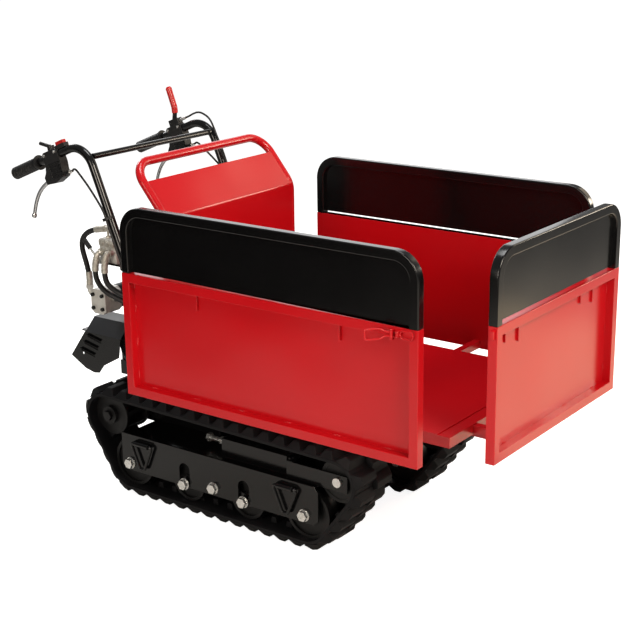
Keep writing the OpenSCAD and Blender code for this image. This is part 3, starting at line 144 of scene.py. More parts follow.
def coated(name, colour, drift_to, drift_mm, rough, relief_mm, relief_depth_mm, metallic=0.0, shine=0.5,
           buckle_mm=0.0):
    """A finish: two colours and the size of their patches, a range of roughness, and a relief."""
    material = bpy.data.materials.new(name)
    material.use_nodes = True
    tree = material.node_tree
    shader = tree.nodes["Principled BSDF"]
    place = add(tree, "ShaderNodeTexCoord").outputs["Object"]
    drift = add(tree, "ShaderNodeTexNoise", {"Vector": place, "Scale": per_mm(drift_mm), "Detail": 2.0})
    spread = add(tree, "ShaderNodeMapRange", {"Value": drift.outputs["Fac"], "From Min": 0.35,
                                              "From Max": 0.65})
    tint = add(tree, "ShaderNodeMix", {"Factor": spread.outputs["Result"], "A": linear(colour),
                                       "B": linear(drift_to)}, data_type="RGBA")
    tree.links.new(tint.outputs["Result"], shader.inputs["Base Color"])
    low, high = rough
    matt = add(tree, "ShaderNodeMapRange", {"Value": drift.outputs["Fac"], "From Min": 0.3, "From Max": 0.7,
                                            "To Min": low, "To Max": high})
    tree.links.new(matt.outputs["Result"], shader.inputs["Roughness"])
    grain = add(tree, "ShaderNodeTexNoise", {"Vector": place, "Scale": per_mm(relief_mm), "Detail": 2.0})
    relief = add(tree, "ShaderNodeBump", {"Height": grain.outputs["Fac"], "Strength": 1.0,
                                          "Distance": relief_depth_mm * MM})
    normal = relief.outputs["Normal"]
    if buckle_mm:
        wave = add(tree, "ShaderNodeTexNoise", {"Vector": place, "Scale": per_mm(BUCKLE_LENGTH),
                                                "Detail": 0.0})
        sheet = add(tree, "ShaderNodeBump", {"Height": wave.outputs["Fac"], "Strength": 1.0,
                                             "Distance": buckle_mm * MM, "Normal": normal})
        normal = sheet.outputs["Normal"]
    tree.links.new(normal, shader.inputs["Normal"])
    shader.inputs["Metallic"].default_value = metallic
    shader.inputs["Specular IOR Level"].default_value = shine
    return material


# %% [markdown]
# The bed is sheet and tube in red powder coat, the frame and boards in black powder coat. Powder melts into
# a thick glossy skin with a slight orange peel of 3 to 4 mm. Thin sheet is never quite flat either: slow
# buckles a hand or two long bend the reflections.

# %% Painted steel
red_powder_coat = coated("red_powder_coat", "#C10D17", "#BC0B15", 420, (0.2, 0.26), 4.0, 0.006, buckle_mm=7)
black_powder_coat = coated("black_powder_coat", "#0A0A0B", "#0C0C0D", 320, (0.15, 0.21), 4.0, 0.006,
                           shine=0.42, buckle_mm=4)
grey_guard_paint = coated("grey_guard_paint", "#25272B", "#212327", 160, (0.36, 0.46), 3.0, 0.015)

# %% [markdown]
# Bolts and pins are bright zinc plated and the hose fittings dull zinc. The pump and valve are aluminium
# castings with a sandy skin, the wheels are painted castings, and the cylinder's rod is ground and chromed.

# %% Bare and plated metal
zinc_plate = coated("zinc_plate", "#EDEDEB", "#DEDEDA", 12, (0.2, 0.3), 2.0, 0.008, metallic=0.9)
dull_zinc = coated("dull_zinc", "#CDC9BF", "#BAB6AC", 9, (0.4, 0.52), 2.0, 0.012, metallic=0.6)
cast_aluminium = coated("cast_aluminium", "#DEDCD6", "#CFCDC7", 25, (0.4, 0.52), 1.6, 0.04, metallic=0.4)
hard_chrome = coated("hard_chrome", "#D8D9DA", "#CDCED0", 60, (0.08, 0.14), 5.0, 0.002, metallic=1.0)
painted_casting = coated("painted_casting", "#0F0F10", "#0C0C0D", 40, (0.42, 0.55), 2.2, 0.06, shine=0.35)

# %% [markdown]
# The track is moulded rubber: nearly black, dull, a little dusty on its faces. Hoses have a smoother skin.
# The plastic covers are moulded with a fine spark texture.

# %% Rubber and plastic
track_rubber = coated("track_rubber", "#111113", "#171719", 55, (0.48, 0.64), 2.5, 0.1, shine=0.15)
hose_rubber = coated("hose_rubber", "#121213", "#161617", 30, (0.4, 0.52), 2.0, 0.02, shine=0.4)
black_plastic = coated("black_plastic", "#151516", "#1B1B1C", 60, (0.4, 0.52), 1.4, 0.03, shine=0.4)
red_plastic = coated("red_plastic", "#C01A18", "#B01513", 40, (0.25, 0.35), 2.0, 0.01)
finish_of = {
    "red_paint": red_powder_coat, "black_paint": black_powder_coat, "grey_paint": grey_guard_paint,
    "zinc": zinc_plate, "aluminium": cast_aluminium, "rod_chrome": hard_chrome, "cast": painted_casting,
    "track_rubber": track_rubber, "hose_rubber": hose_rubber, "black_plastic": black_plastic,
    "red_plastic": red_plastic,
}
print("finishes", len(finish_of))

# %% [markdown]
# ## From a shape to a piece
# A bmesh is only a shape. A piece also has a name, finishes, smooth shading with kept sharp edges, a body
# that it moves with, and the solids that it stands for. Weighted normals keep large faces flat next to
# their rounded edges.

# %% Turn a bmesh into a piece
SHARP = math.radians(38)


def mesh_from(name, shape):
    """The shape as a mesh. The bmesh is freed, because nothing needs it any more."""
    mesh = bpy.data.meshes.new(name)
    shape.to_mesh(mesh)
    shape.free()
    return mesh


def piece(name, shape, materials, body, replaced=()):
    for face in shape.faces:
        face.smooth = True
    for edge in shape.edges:
        edge.smooth = len(edge.link_faces) == 2 and edge.calc_face_angle(0.0) < SHARP
    mesh = mesh_from(name, shape)
    for material in materials:
        mesh.materials.append(material)
    made = bpy.data.objects.new(name, mesh)
    scene.collection.objects.link(made)
    flat = made.modifiers.new("flat_faces", "WEIGHTED_NORMAL")
    flat.keep_sharp = True
    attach(made, body)
    if replaced:
        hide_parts(*replaced)
    return made


# %% [markdown]
# ## Hoses and cables
# Three hydraulic hoses join the pump, the valve and the tipping cylinder, and three cables leave the
# levers. Each is a fixed length of something flexible, so each is one curve with a round bevel. A
# Catmull-Rom walk through the route's points gives the same bends as the solids have.

# %% Route of a cord


def walk(route, steps):
    """Points on the smooth line through a route in millimetres, given back in metres."""
    stops = [Vector(p) * MM for p in route]
    ends = [2 * stops[0] - stops[1]] + stops + [2 * stops[-1] - stops[-2]]
    points = []
    for i in range(1, len(ends) - 2):
        a, b, c, d = ends[i - 1:i + 3]
        for k in range(steps):
            t = k / steps
            line = 2 * b + (c - a) * t
            curve = (2 * a - 5 * b + 4 * c - d) * t * t + (3 * b - a - 3 * c + d) * t ** 3
            points.append((line + curve) / 2)
    points.append(stops[-1])
    return points


def length_of(points):
    return sum((q - p).length for p, q in zip(points, points[1:]))


# %% [markdown]
# A curve keeps its route, so it can be bent again later. Automatic handles keep it smooth, and the ends
# are filled because they stand inside a ferrule. The bevel is one unit deep and each point carries the
# hose's real radius, because Blender adds the points' radius to the curve's box.

# %% A cord as a curve


def cord_curve(name, points, diameter):
    data = bpy.data.curves.new(name, "CURVE")
    data.dimensions = "3D"
    data.bevel_depth = 1.0
    data.bevel_resolution = 4
    data.resolution_u = 3
    data.use_fill_caps = True
    spline = data.splines.new("BEZIER")
    spline.bezier_points.add(len(points) - 1)
    for stop, point in zip(spline.bezier_points, points):
        stop.co = point
        stop.radius = diameter / 2
        stop.handle_left_type = "AUTO"
        stop.handle_right_type = "AUTO"
    cord = bpy.data.objects.new(name, data)
    scene.collection.objects.link(cord)
    return cord


# %% Hose routes
hose_routes = {
    "pressure_hose": [(-682, -236, 664.3), (-682, -236, 698), (-692, -237, 742), (-702, -239, 782),
                      (-698, -241, 816), (-674, -244, 842), (-640, -247, 858), (-600, -248, 869),
                      (-574, -248, 872), (-554.3, -248, 872)],
    "lift_hose": [(-566, -284.3, 803), (-566, -296, 803), (-572, -304, 790), (-581, -304, 745),
                  (-578, -300, 706), (-556, -284, 668), (-500, -262, 640), (-440, -244, 610),
                  (-390, -215, 560), (-366, -160, 490), (-362, -100, 420), (-354, -62, 345),
                  (-300, -48, 310), (-200, -44, 300), (-60, -44, 290), (40, -44, 262), (84, -44, 234),
                  (98, -40, 224)],
    "lower_hose": [(-530, -284.3, 803), (-530, -296, 803), (-532, -304, 790), (-539, -304, 748),
                   (-534, -300, 706), (-506, -284, 676), (-456, -264, 652), (-412, -236, 622),
                   (-372, -190, 570), (-350, -130, 490), (-352, -70, 420), (-344, -32, 345),
                   (-280, -18, 318), (-180, -14, 306), (-50, -14, 300), (50, -16, 290), (110, -22, 275),
                   (140, -24, 262)],
}
suction_route = [(-586.7, -226, 630), (-572, -226, 630), (-552, -218, 634), (-538, -190, 634),
                 (-530, -170, 634), (-520.3, -170, 634)]

# %% Cable routes
GRIP_TILT = math.radians(22.2)
PERCH = Vector((-746.3, -298, 1101.3))


def on_grip(x, y, z):
    """A place in the grip's own frame, as millimetres in the row frame."""
    along = x * math.cos(GRIP_TILT) - z * math.sin(GRIP_TILT)
    rise = x * math.sin(GRIP_TILT) + z * math.cos(GRIP_TILT)
    return PERCH + Vector((along, y, rise))


def to_left(route):
    return [Vector((p[0], -p[1], p[2])) for p in route]


LEG_TILT = math.radians(67.7)
LEG_TOP = Vector((-600, -298, 1161))
AT_LEG_SIDE = Vector((-4, -18.5, 0))


def leg_middle(z):
    return Vector((LEG_TOP.x + (LEG_TOP.z - z) / math.tan(LEG_TILT), LEG_TOP.y, z))


def leg_side(z):
    """Where the cable lies against the outer side of the handlebar's leg."""
    return leg_middle(z) + AT_LEG_SIDE


steering_route = [on_grip(62.3, 0, -68), on_grip(76, 0, -68), (-612, -302, 1039), (-570, -308, 1003)]
steering_route += [leg_side(z) for z in (950, 900, 800, 720, 640, 560)]
steering_route += [(-340, -308, 480), (-322, -304, 424)]
clutch_route = [on_grip(62.3, 0, 30), on_grip(76, 0, 30), (-640, -297, 1176), (-586, -292, 1158),
                (-548, -284, 1104), (-512, -280, 1037), (-462, -280, 900), (-420, -280, 780),
                (-384, -280, 680), (-348, -278, 580), (-318, -276, 500)]
cable_routes = {
    "right_cable": steering_route,
    "left_cable": to_left(steering_route),
    "clutch_cable": to_left(clutch_route),
}

# %% [markdown]
# A hose ends in a steel ferrule crimped on it, a neck and a hex nut. Seen from outside they are one turned
# shape that follows the hose's bend, so a circle is extruded along the route and scaled at each step.

# %% Ferrules along a route
SLEEVE_SIDES = 20


def carry(shape, rim, here, there):
    """Extrudes a rim from one place to the next and gives back the new rim."""
    grown = bmesh.ops.extrude_edge_only(shape, edges=rim)["geom"]
    ends = [g for g in grown if isinstance(g, bmesh.types.BMVert)]
    bmesh.ops.transform(shape, matrix=there @ here.inverted(), verts=ends)
    return [g for g in grown if isinstance(g, bmesh.types.BMEdge)]


def sleeve(name, points, start_mm, profile, finish=dull_zinc, slot="zinc", replaced=(), body="chassis"):
    """A turned fitting along a route: profile is (distance, radius) pairs in millimetres from start_mm."""
    reach = [0.0]
    for p, q in zip(points, points[1:]):
        reach.append(reach[-1] + (q - p).length)

    def at(distance):
        distance = min(max(distance, 0.0), reach[-1])
        k = next(i for i in range(1, len(reach)) if reach[i] >= distance - 1e-9)
        share = (distance - reach[k - 1]) / (reach[k] - reach[k - 1])
        heading = points[k] - points[k - 1]
        return points[k - 1].lerp(points[k], share), heading.normalized()

    first = start_mm * MM if start_mm >= 0 else reach[-1] + start_mm * MM
    shape = bmesh.new()
    spot, heading = at(first)
    facing = Vector((0, 0, 1)).rotation_difference(heading)
    ring = bmesh.ops.create_circle(shape, cap_ends=True, segments=SLEEVE_SIDES, radius=1)["verts"]
    here = Matrix.Translation(spot) @ facing.to_matrix().to_4x4() @ Matrix.Scale(profile[0][1] * MM, 4)
    bmesh.ops.transform(shape, matrix=here, verts=ring)
    rim = list(shape.edges)
    for distance, radius in profile[1:]:
        spot, ahead = at(first + distance * MM)
        facing = heading.rotation_difference(ahead) @ facing
        heading = ahead
        there = Matrix.Translation(spot) @ facing.to_matrix().to_4x4() @ Matrix.Scale(radius * MM, 4)
        rim = carry(shape, rim, here, there)
        here = there
    bmesh.ops.contextual_create(shape, geom=rim)
    bmesh.ops.recalc_face_normals(shape, faces=shape.faces)
    return piece(name, shape, [finish], body, replaced)


# Each fitting is a row of (distance along the hose, radius), in millimetres.
ELBOW_BEND = 34
crimp = [(0, 9.4), (0.5, 11.2), (12, 11.2), (13, 10.6), (16, 10.6), (17, 11.2), (28, 11.2), (29, 10.6),
         (32, 10.6), (33, 11.2), (44, 11.2), (44.5, 9.4)]
elbow = [(0, 12.4), (9, 12.4), (9.5, 9.6)] + [(k, 9.6) for k in range(12, ELBOW_BEND, 3)]
elbow += [(ELBOW_BEND + distance, radius) for distance, radius in crimp]
straight = [(0, 9.3), (0.5, 11.4), (46, 11.4), (46.5, 9.4), (62, 9.4), (62.5, 11.8), (71.5, 11.8),
            (72, 9.3)]
fitted = {
    "pressure_hose": {"pump_ferrule": (0, crimp), "valve_ferrule": (-72.5, straight)},
    "lift_hose": {"valve_elbow": (0, elbow), "cylinder_ferrule": (-45, crimp)},
    "lower_hose": {"valve_elbow": (0, elbow), "cylinder_ferrule": (-45, crimp)},
}

HOSE_D = 18 * MM
CABLE_D = 7 * MM
CORD_STEPS = 2
FINE_STEPS = 14
for name, route in {**hose_routes, **cable_routes}.items():
    is_hose = name in hose_routes
    diameter = HOSE_D if is_hose else CABLE_D
    points = walk(route, CORD_STEPS)
    cord = cord_curve(name, points, diameter)
    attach(cord, "chassis")
    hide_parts("hydraulic_hoses" if is_hose else "control_cables")
    cord.data.materials.append(hose_rubber if is_hose else black_plastic)
    fine = walk(route, FINE_STEPS)
    fittings = [sleeve(f"{name}_{end}", fine, *span) for end, span in fitted.get(name, {}).items()]
    length = length_of(points)
    print(name, "length", round(length, 3), "points", len(points))

# %% [markdown]
# The hose from the tank to the pump is only a hand's width long, too short to hang or sway. It is a moulded
# rubber elbow under two clamps, so it is made like the fittings.

# %% Suction elbow
ELBOW_PARTS = 24
ELBOW_RADIUS = 9
elbow_walk = walk(suction_route, FINE_STEPS)
elbow_length = length_of(elbow_walk) / MM
elbow_profile = [(elbow_length * k / ELBOW_PARTS, ELBOW_RADIUS) for k in range(ELBOW_PARTS + 1)]
sleeve("suction_elbow", elbow_walk, 0, elbow_profile, hose_rubber, "hose_rubber", ("hydraulic_hoses",))
clamp = [(0, 9.1), (0.2, 10), (9, 10), (9.2, 9.1)]
for name, start in (("pump_clamp", 3), ("tank_clamp", -12.5)):
    sleeve(name, elbow_walk, start, clamp)
print("suction elbow", round(elbow_length), "mm")

# %% [markdown]
# ## Rounded edges
# Bent sheet and tube never end in a sharp line: a 1 to 3 mm round catches the light there. A copy of each
# solid is merged, its flat triangles are dissolved into whole faces, and its sharp edges get a bevel. The
# copy stands for the solid, which stays as it is for the physics.

# %% Round the edges of a solid
ROUND_FROM = math.radians(35)
SAME_PLANE = math.radians(0.5)
SAME_PLACE = 2e-6
ROOM_FOR_TWO = 2.2
SAME_WAY = 0.8


def soften(shape, edges, width, segments=2):
    """A round along these edges, width in metres."""
    bmesh.ops.bevel(shape, geom=edges, offset=width, offset_type="OFFSET", segments=segments, profile=0.5,
                    affect="EDGES", material=-1, clamp_overlap=False)


def merged(node_name):
    """A copy of a solid with its flat triangles made whole faces."""
    shape = bmesh.new()
    shape.from_mesh(nodes[node_name].data)
    bmesh.ops.remove_doubles(shape, verts=shape.verts, dist=SAME_PLACE)
    bmesh.ops.dissolve_limit(shape, angle_limit=SAME_PLANE, verts=shape.verts, edges=shape.edges)
    return shape


def has_room(edge, width):
    """Whether every edge that leaves this one sideways is long enough for two rounds."""
    heading = (edge.verts[1].co - edge.verts[0].co).normalized()
    for vert in edge.verts:
        for other in vert.link_edges:
            if other is edge or other.calc_length() > ROOM_FOR_TWO * width:
                continue
            turn = (other.verts[1].co - other.verts[0].co).normalized()
            if abs(turn.dot(heading)) < SAME_WAY:
                return False
    return True


def stays_inside(shape, box, slack=0.2 * MM):
    low, high = box
    return all(low[i] - slack < v.co[i] < high[i] + slack for v in shape.verts for i in range(3))


def rounded(node_name, width_mm, segments=2, hollows=True):
    """A solid's copy with round edges, inner corners too if hollows is true.

    A round that folds over a narrow face is made again, narrower.
    """
    for share in (1.0, 0.5, 0.25):
        shape = merged(node_name)
        width = width_mm * share * MM
        edges = [e for e in shape.edges if len(e.link_faces) == 2 and e.calc_face_angle(0.0) > ROUND_FROM]
        edges = [e for e in edges if (hollows or e.is_convex) and has_room(e, width)]
        soften(shape, edges, width, segments)
        if stays_inside(shape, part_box(node_name)):
            break
        shape.free()
        shape = None
    print(node_name, "round", round(width / MM, 2), "mm on", len(edges), "edges")
    return shape or merged(node_name)


def dressed(node_name, shape, others=()):
    """The piece for a solid. Others are (finish, test of a face's middle) pairs."""
    for face in shape.faces:
        middle = face.calc_center_median()
        for k, (finish, test) in enumerate(others):
            if test(middle):
                face.material_index = k + 1
    slot = slot_of[node_name]
    finishes = [finish_of[slot]] + [finish for finish, test in others]
    return piece(node_name + "_dressed", shape, finishes, body_of[node_name], (node_name,))


# %% Which solids get which round
edge_rounds = {
    1.4: ["main_frame", "outer_track_plates", "fuel_tank", "recoil_cover", "air_cleaner", "oil_tank",
          "axle_bolts"],
    0.8: ["bed_floor", "gearbox", "engine_block", "muffler", "control_valve", "cylinder_barrel", "grips",
          "handlebar"],
}
for width, names in edge_rounds.items():
    for name in names:
        dressed(name, rounded(name, width))

# %% [markdown]
# The red panels are sheet welded into square tube, whose corners are rolled to a 3 mm round. Only outer
# edges are rounded, because the sheet meets the tube in a sharp dark line.

# %% Panels with rolled tube corners
TUBE_ROUND = 3.0
ROUND_STEPS = 3
RIB_REACH = 0.35
RIB_LEVEL = 0.7
RIB_DEPTH = (12, 21)
RIB_BACK = 33
RIB_SET_BACK = 4
SHORT_RIB_FOOT = 52
FOOT_SLACK = 4
SHORT_RIB_MORE = 14


def set_ribs(shape, box):
    """Makes the front panel's stiffening ribs flatter, and the two short ones longer."""
    high = box[1]
    crests = [v for v in shape.verts if abs(v.co.y) < RIB_REACH and v.co.z > RIB_LEVEL
              and RIB_DEPTH[0] * MM < high.x - v.co.x < RIB_DEPTH[1] * MM]
    bmesh.ops.translate(shape, vec=(-RIB_SET_BACK * MM, 0, 0), verts=crests)
    foot_level = high.z - SHORT_RIB_FOOT * MM
    feet = [v for v in shape.verts if abs(v.co.y) < RIB_REACH and abs(v.co.z - foot_level) < FOOT_SLACK * MM
            and RIB_DEPTH[0] * MM < high.x - v.co.x < RIB_BACK * MM]
    bmesh.ops.translate(shape, vec=(0, 0, -SHORT_RIB_MORE * MM), verts=feet)
    print("rib crests", len(crests), "rib feet", len(feet))


for name in ("right_panel", "left_panel", "front_panel"):
    shape = rounded(name, TUBE_ROUND, ROUND_STEPS, hollows=False)
    if name == "front_panel":
        set_ribs(shape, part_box(name))
    dressed(name, shape)

# %% [markdown]
# The black boards are folded sheet in a tube loop that stands in the panels' posts. The sheet ends a little
# above the panel, and light shines through that slit, so the sheet's foot is lifted on the rounded copy.

# %% Boards with a slit under the sheet
LOOP_ROUND = 4.0
SPIGOT = 80
SHEET_FOOT = 3
SHEET_SLACK = 0.4
slit_of = {"right_board": 0, "left_board": 4.5, "front_board": 4.5}
for name, slit in slit_of.items():
    shape = rounded(name, LOOP_ROUND, ROUND_STEPS, hollows=False)
    foot_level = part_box(name)[0].z + (SPIGOT + SHEET_FOOT) * MM
    foot = [v for v in shape.verts if abs(v.co.z - foot_level) < SHEET_SLACK * MM]
    bmesh.ops.translate(shape, vec=(0, 0, slit * MM), verts=foot)
    dressed(name, shape)
    print(name, "foot verts", len(foot))

# %% [markdown]
# Some solids carry pieces in a second finish: zinc bolt heads on the rocker, zinc pins and screws on the
# idler fork, black screws on the pump, a black knob on the lever. A test of each face's place picks them.

# %% Where the second finish lies
# All limits are metres, apart from the three of the cable sockets: millimetres in the grip's own frame.
PLATE_FACE = 0.3355
PIN = Vector((0.392, 0, 0.242))
PIN_RADIUS = 0.0165
PIN_END = 0.0078
SCREW_LENGTH = 0.104
SOCKET_START = 45.5
LOWER_SOCKET = -50
UPPER_SOCKET = 20
VALVE_PIVOT = Vector((-0.606, -0.262, 0.764))
KNOB_FROM = 0.0502
SLEEVE_FROM = 0.037
PUMP_FACE = -0.2622
GUARD_FACE = -0.2465
LOUVRE_TOP = 0.4985
fork_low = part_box("idler_forks")[0]
clutch_pivot = Vector(to_left([on_grip(0, 0, 30)])[0]) * MM


def outside_plate(p):
    return abs(p.y) > PLATE_FACE


def pin_or_screw(p):
    near_pin = math.hypot(p.x - PIN.x, p.z - PIN.z) < PIN_RADIUS and abs(p.y) > abs(fork_low.y) - PIN_END
    return near_pin or p.x < fork_low.x + SCREW_LENGTH


def cable_end(p):
    away = Vector((p.x, -abs(p.y), p.z)) / MM - PERCH
    along = away.x * math.cos(GRIP_TILT) + away.z * math.sin(GRIP_TILT)
    rise = away.z * math.cos(GRIP_TILT) - away.x * math.sin(GRIP_TILT)
    return along > SOCKET_START and (rise < LOWER_SOCKET or (p.y > 0 and rise > UPPER_SOCKET))


def knob(p):
    return (p - VALVE_PIVOT).length > KNOB_FROM


def sleeve_foot(p):
    return p.z < clutch_pivot.z + SLEEVE_FROM


def screw_head(p):
    return p.y < PUMP_FACE


def louvre_plate(p):
    return p.y < GUARD_FACE and p.z < LOUVRE_TOP


# %% Solids in two finishes
second_finish = {
    "right_bogie": (0.8, zinc_plate, outside_plate),
    "left_bogie": (0.8, zinc_plate, outside_plate),
    "idler_forks": (0.8, zinc_plate, pin_or_screw),
    "control_housings": (0.8, zinc_plate, cable_end),
    "belt_guard": (1.4, black_powder_coat, louvre_plate),
    "tip_lever": (0.6, black_plastic, knob),
    "clutch_lever": (0.6, black_plastic, sleeve_foot),
    "hydraulic_pump": (0.8, black_powder_coat, screw_head),
}
for name, (width, finish, test) in second_finish.items():
    dressed(name, rounded(name, width), [(finish, test)])

# %% [markdown]
# ## Steering levers
# The lever blades are bent from thick flat bar and chromed. A section that is carried along a smooth line
# and tapers to a ball end gives one long highlight, where the solid's straight lengths would break it.

# %% Chromed lever blades
blade_route = [on_grip(x, 0, z) for x, z in ((-46, -66), (-72, -72), (-101, -80), (-128, -94), (-153, -115),
                                             (-172, -137), (-184, -152), (-190, -158.5))]
BLADE_STEPS = 8
NECK = 14
TAPER_PARTS = 12
blade_walk = walk(blade_route, BLADE_STEPS)
blade_length = length_of(blade_walk) / MM
taper = blade_length - 32
blade = [(0, 4), (1, 9.5), (9, 9.5), (NECK, 7)]
blade += [(NECK + k * taper / TAPER_PARTS, 7 - k / TAPER_PARTS) for k in range(1, TAPER_PARTS + 1)]
ball = [(15, 6.3), (12, 8.4), (6, 9), (2, 7.6), (0, 4)]
blade += [(blade_length - before_end, radius) for before_end, radius in ball]
for name, line in (("right_steering_lever", blade_walk), ("left_steering_lever", to_left(blade_walk))):
    sleeve(name + "_blade", line, 0, blade, hard_chrome, slot_of[name], (name,), body_of[name])
print("lever blade", round(blade_length), "mm")

# %% [markdown]
# ## The headboard
# Its sheet is folded at the knee over a wide tool, so the fold is a soft band that catches the light. That
# one edge gets a wide bevel with more steps than the rest.

# %% Headboard with a soft fold
KNEE_LEVEL = 0.963
KNEE_SLACK = 0.004
FOLD_LENGTH = 0.3
FOLD_ROUND = 0.009
FOLD_STEPS = 5


def at_knee(edge):
    ends = [v.co for v in edge.verts]
    level = all(abs(p.z - KNEE_LEVEL) < KNEE_SLACK for p in ends)
    return level and abs(ends[0].y - ends[1].y) > FOLD_LENGTH


headboard_shape = merged("headboard")
fold_edges = [e for e in headboard_shape.edges if at_knee(e)]
soften(headboard_shape, fold_edges, FOLD_ROUND, FOLD_STEPS)
headboard = dressed("headboard", headboard_shape)
print("folds", len(fold_edges), "faces", len(headboard.data.polygons))

# %% [markdown]
# ## Stitch welds
# The sheet of each panel is held in its tube frame by short welds. A weld is a row of overlapping puddles,
# so one small ball is stamped along each short line in the corner of the recess.

# %% Stamps for welds


def stamp(shape, mesh, matrix):
    first = len(shape.verts)
    shape.from_mesh(mesh)
    shape.verts.ensure_lookup_table()
    bmesh.ops.transform(shape, matrix=matrix, verts=shape.verts[first:])


def mirrored(shape):
    """A copy for the left side, with its faces turned back outwards."""
    copy = shape.copy()
    bmesh.ops.scale(copy, vec=(1, -1, 1), verts=copy.verts)
    bmesh.ops.reverse_faces(copy, faces=copy.faces)
    return copy


PUDDLE_RADIUS = 2.8
puddle_shape = bmesh.new()
bmesh.ops.create_uvsphere(puddle_shape, u_segments=8, v_segments=5, radius=PUDDLE_RADIUS * MM)
puddle = mesh_from("weld_puddle", puddle_shape)


def stitch(shape, middle, along, count=6, spacing=3.4):
    for k in range(count):
        spot = Vector(middle) + Vector(along) * spacing * (k - (count - 1) / 2)
        stamp(shape, puddle, Matrix.Translation(spot * MM))


# %% Welds of the three panels
SIDE_SHEET = -481.5
FRONT_SHEET = 915.5
RECESS_LEVELS = (472, 801)
side_welds = bmesh.new()
for z in (505, 610, 715, 790):
    for x in (-234, 760):
        stitch(side_welds, (x, SIDE_SHEET, z), (0, 0, 1))
for x in range(-170, 760, 170):
    for z in RECESS_LEVELS:
        stitch(side_welds, (x, SIDE_SHEET, z), (1, 0, 0))
left_welds = mirrored(side_welds)
front_welds = bmesh.new()
for z in (520, 640, 760):
    for y in (-340, 340):
        stitch(front_welds, (FRONT_SHEET, y, z), (0, 0, 1))
for y in range(-270, 271, 180):
    for z in RECESS_LEVELS:
        stitch(front_welds, (FRONT_SHEET, y, z), (0, 1, 0))
for name, shape in (("right", side_welds), ("left", left_welds), ("front", front_welds)):
    made = piece(name + "_panel_welds", shape, [red_powder_coat], name + "_panel")
    print(name, "weld faces", len(made.data.polygons))

# %% [markdown]
# ## The tracks
# A rubber track is one moulded loop. Here its section is extruded from station to station round the four
# wheels, then tread blocks and drive lugs are stamped on. Stamping one bevelled block many times keeps the
# faces few and the blocks equal.

# %% The loop round the wheels
# Each wheel is (x, z, radius), in the order in which the belt meets them.
loop = [(-436, 114, 82), (280, 114, 82), (392, 242, 69), (-540, 255, 70.39)]
BELT_T = 12
LUG_PITCH = 60
hubs = [Vector(wheel[:2]) for wheel in loop]
normals = []
for i, (x, z, r) in enumerate(loop):
    j = (i + 1) % 4
    span = hubs[j] - hubs[i]
    lean = math.asin((r - loop[j][2]) / span.length)
    normals.append(math.atan2(span.y, span.x) - math.pi / 2 + lean)
stretches = []
for i, (x, z, r) in enumerate(loop):
    j = (i + 1) % 4
    turn_by = (normals[i] - normals[i - 1]) % (2 * math.pi)
    stretches.append(("arc", i, turn_by * (r + BELT_T / 2)))
    stretches.append(("run", i, math.sqrt((hubs[j] - hubs[i]).length ** 2 - (r - loop[j][2]) ** 2)))
belt_length = sum(stretch[2] for stretch in stretches)
lug_count = round(belt_length / LUG_PITCH)
lug_step = belt_length / lug_count
print("belt length", round(belt_length), "lugs", lug_count)


def station(s):
    """Frame on the belt's inner face at s millimetres: X along the belt, Y across, Z outwards."""
    s = s % belt_length
    for kind, i, length in stretches:
        if s <= length:
            break
        s -= length
    x, z, r = loop[i]
    angle = normals[i - 1] + s / (r + BELT_T / 2) if kind == "arc" else normals[i]
    run = 0 if kind == "arc" else s
    out = Vector((math.cos(angle), 0, math.sin(angle)))
    along = Vector((-math.sin(angle), 0, math.cos(angle)))
    centre = Vector((x, 0, z)) + out * r + along * run
    axes = Matrix((along, out.cross(along), out)).transposed().to_4x4()
    return Matrix.Translation(centre * MM) @ axes


# %% Stamps for a tread block and a drive lug


def block(foot, top, width, low, high, round_mm, end_slope=0):
    """A tapered block with soft edges, standing on Z = low. Its end on the +Y side may slope inwards."""
    shape = bmesh.new()
    bmesh.ops.create_cube(shape, size=1)
    bmesh.ops.scale(shape, vec=(foot * MM, width * MM, (high - low) * MM), verts=shape.verts)
    upper = [v for v in shape.verts if v.co.z > 0]
    bmesh.ops.scale(shape, vec=(top / foot, 1, 1), verts=upper)
    bmesh.ops.translate(shape, vec=(0, -end_slope * MM, 0), verts=[v for v in upper if v.co.y > 0])
    bmesh.ops.translate(shape, vec=(0, 0, (high + low) / 2 * MM), verts=shape.verts)
    edges = [e for e in shape.edges if any(v in upper for v in e.verts)]
    soften(shape, edges, round_mm * MM)
    return mesh_from("stamp", shape)


# %% The right track
TRACK_Y = -255
TRACK_W = 180
BELT_EDGE = 3
ARC_STEP = 9
RUN_PARTS = 4
tread = block(52, 22, 89.6, BELT_T - 2, BELT_T + 20, 3, end_slope=15)
drive_lug = block(24, 18, 80, 1, 20, 3)
track_shape = bmesh.new()
corners = [(-TRACK_W / 2, 0), (TRACK_W / 2, 0), (TRACK_W / 2, BELT_T - BELT_EDGE),
           (TRACK_W / 2 - BELT_EDGE, BELT_T), (BELT_EDGE - TRACK_W / 2, BELT_T),
           (-TRACK_W / 2, BELT_T - BELT_EDGE)]
section = [track_shape.verts.new((0, y * MM, z * MM)) for y, z in corners]
rim = [track_shape.edges.new((section[i - 1], section[i])) for i in range(len(section))]
stops = []
travelled = 0
for kind, i, length in stretches:
    parts = max(1, round(length / ARC_STEP)) if kind == "arc" else RUN_PARTS
    stops += [travelled + length * k / parts for k in range(parts)]
    travelled += length
first_rim = list(rim)
here = station(stops[0])
bmesh.ops.transform(track_shape, matrix=here, verts=section)
for s in stops[1:]:
    there = station(s)
    rim = carry(track_shape, rim, here, there)
    here = there
bmesh.ops.bridge_loops(track_shape, edges=rim + first_rim)
bmesh.ops.recalc_face_normals(track_shape, faces=track_shape.faces)

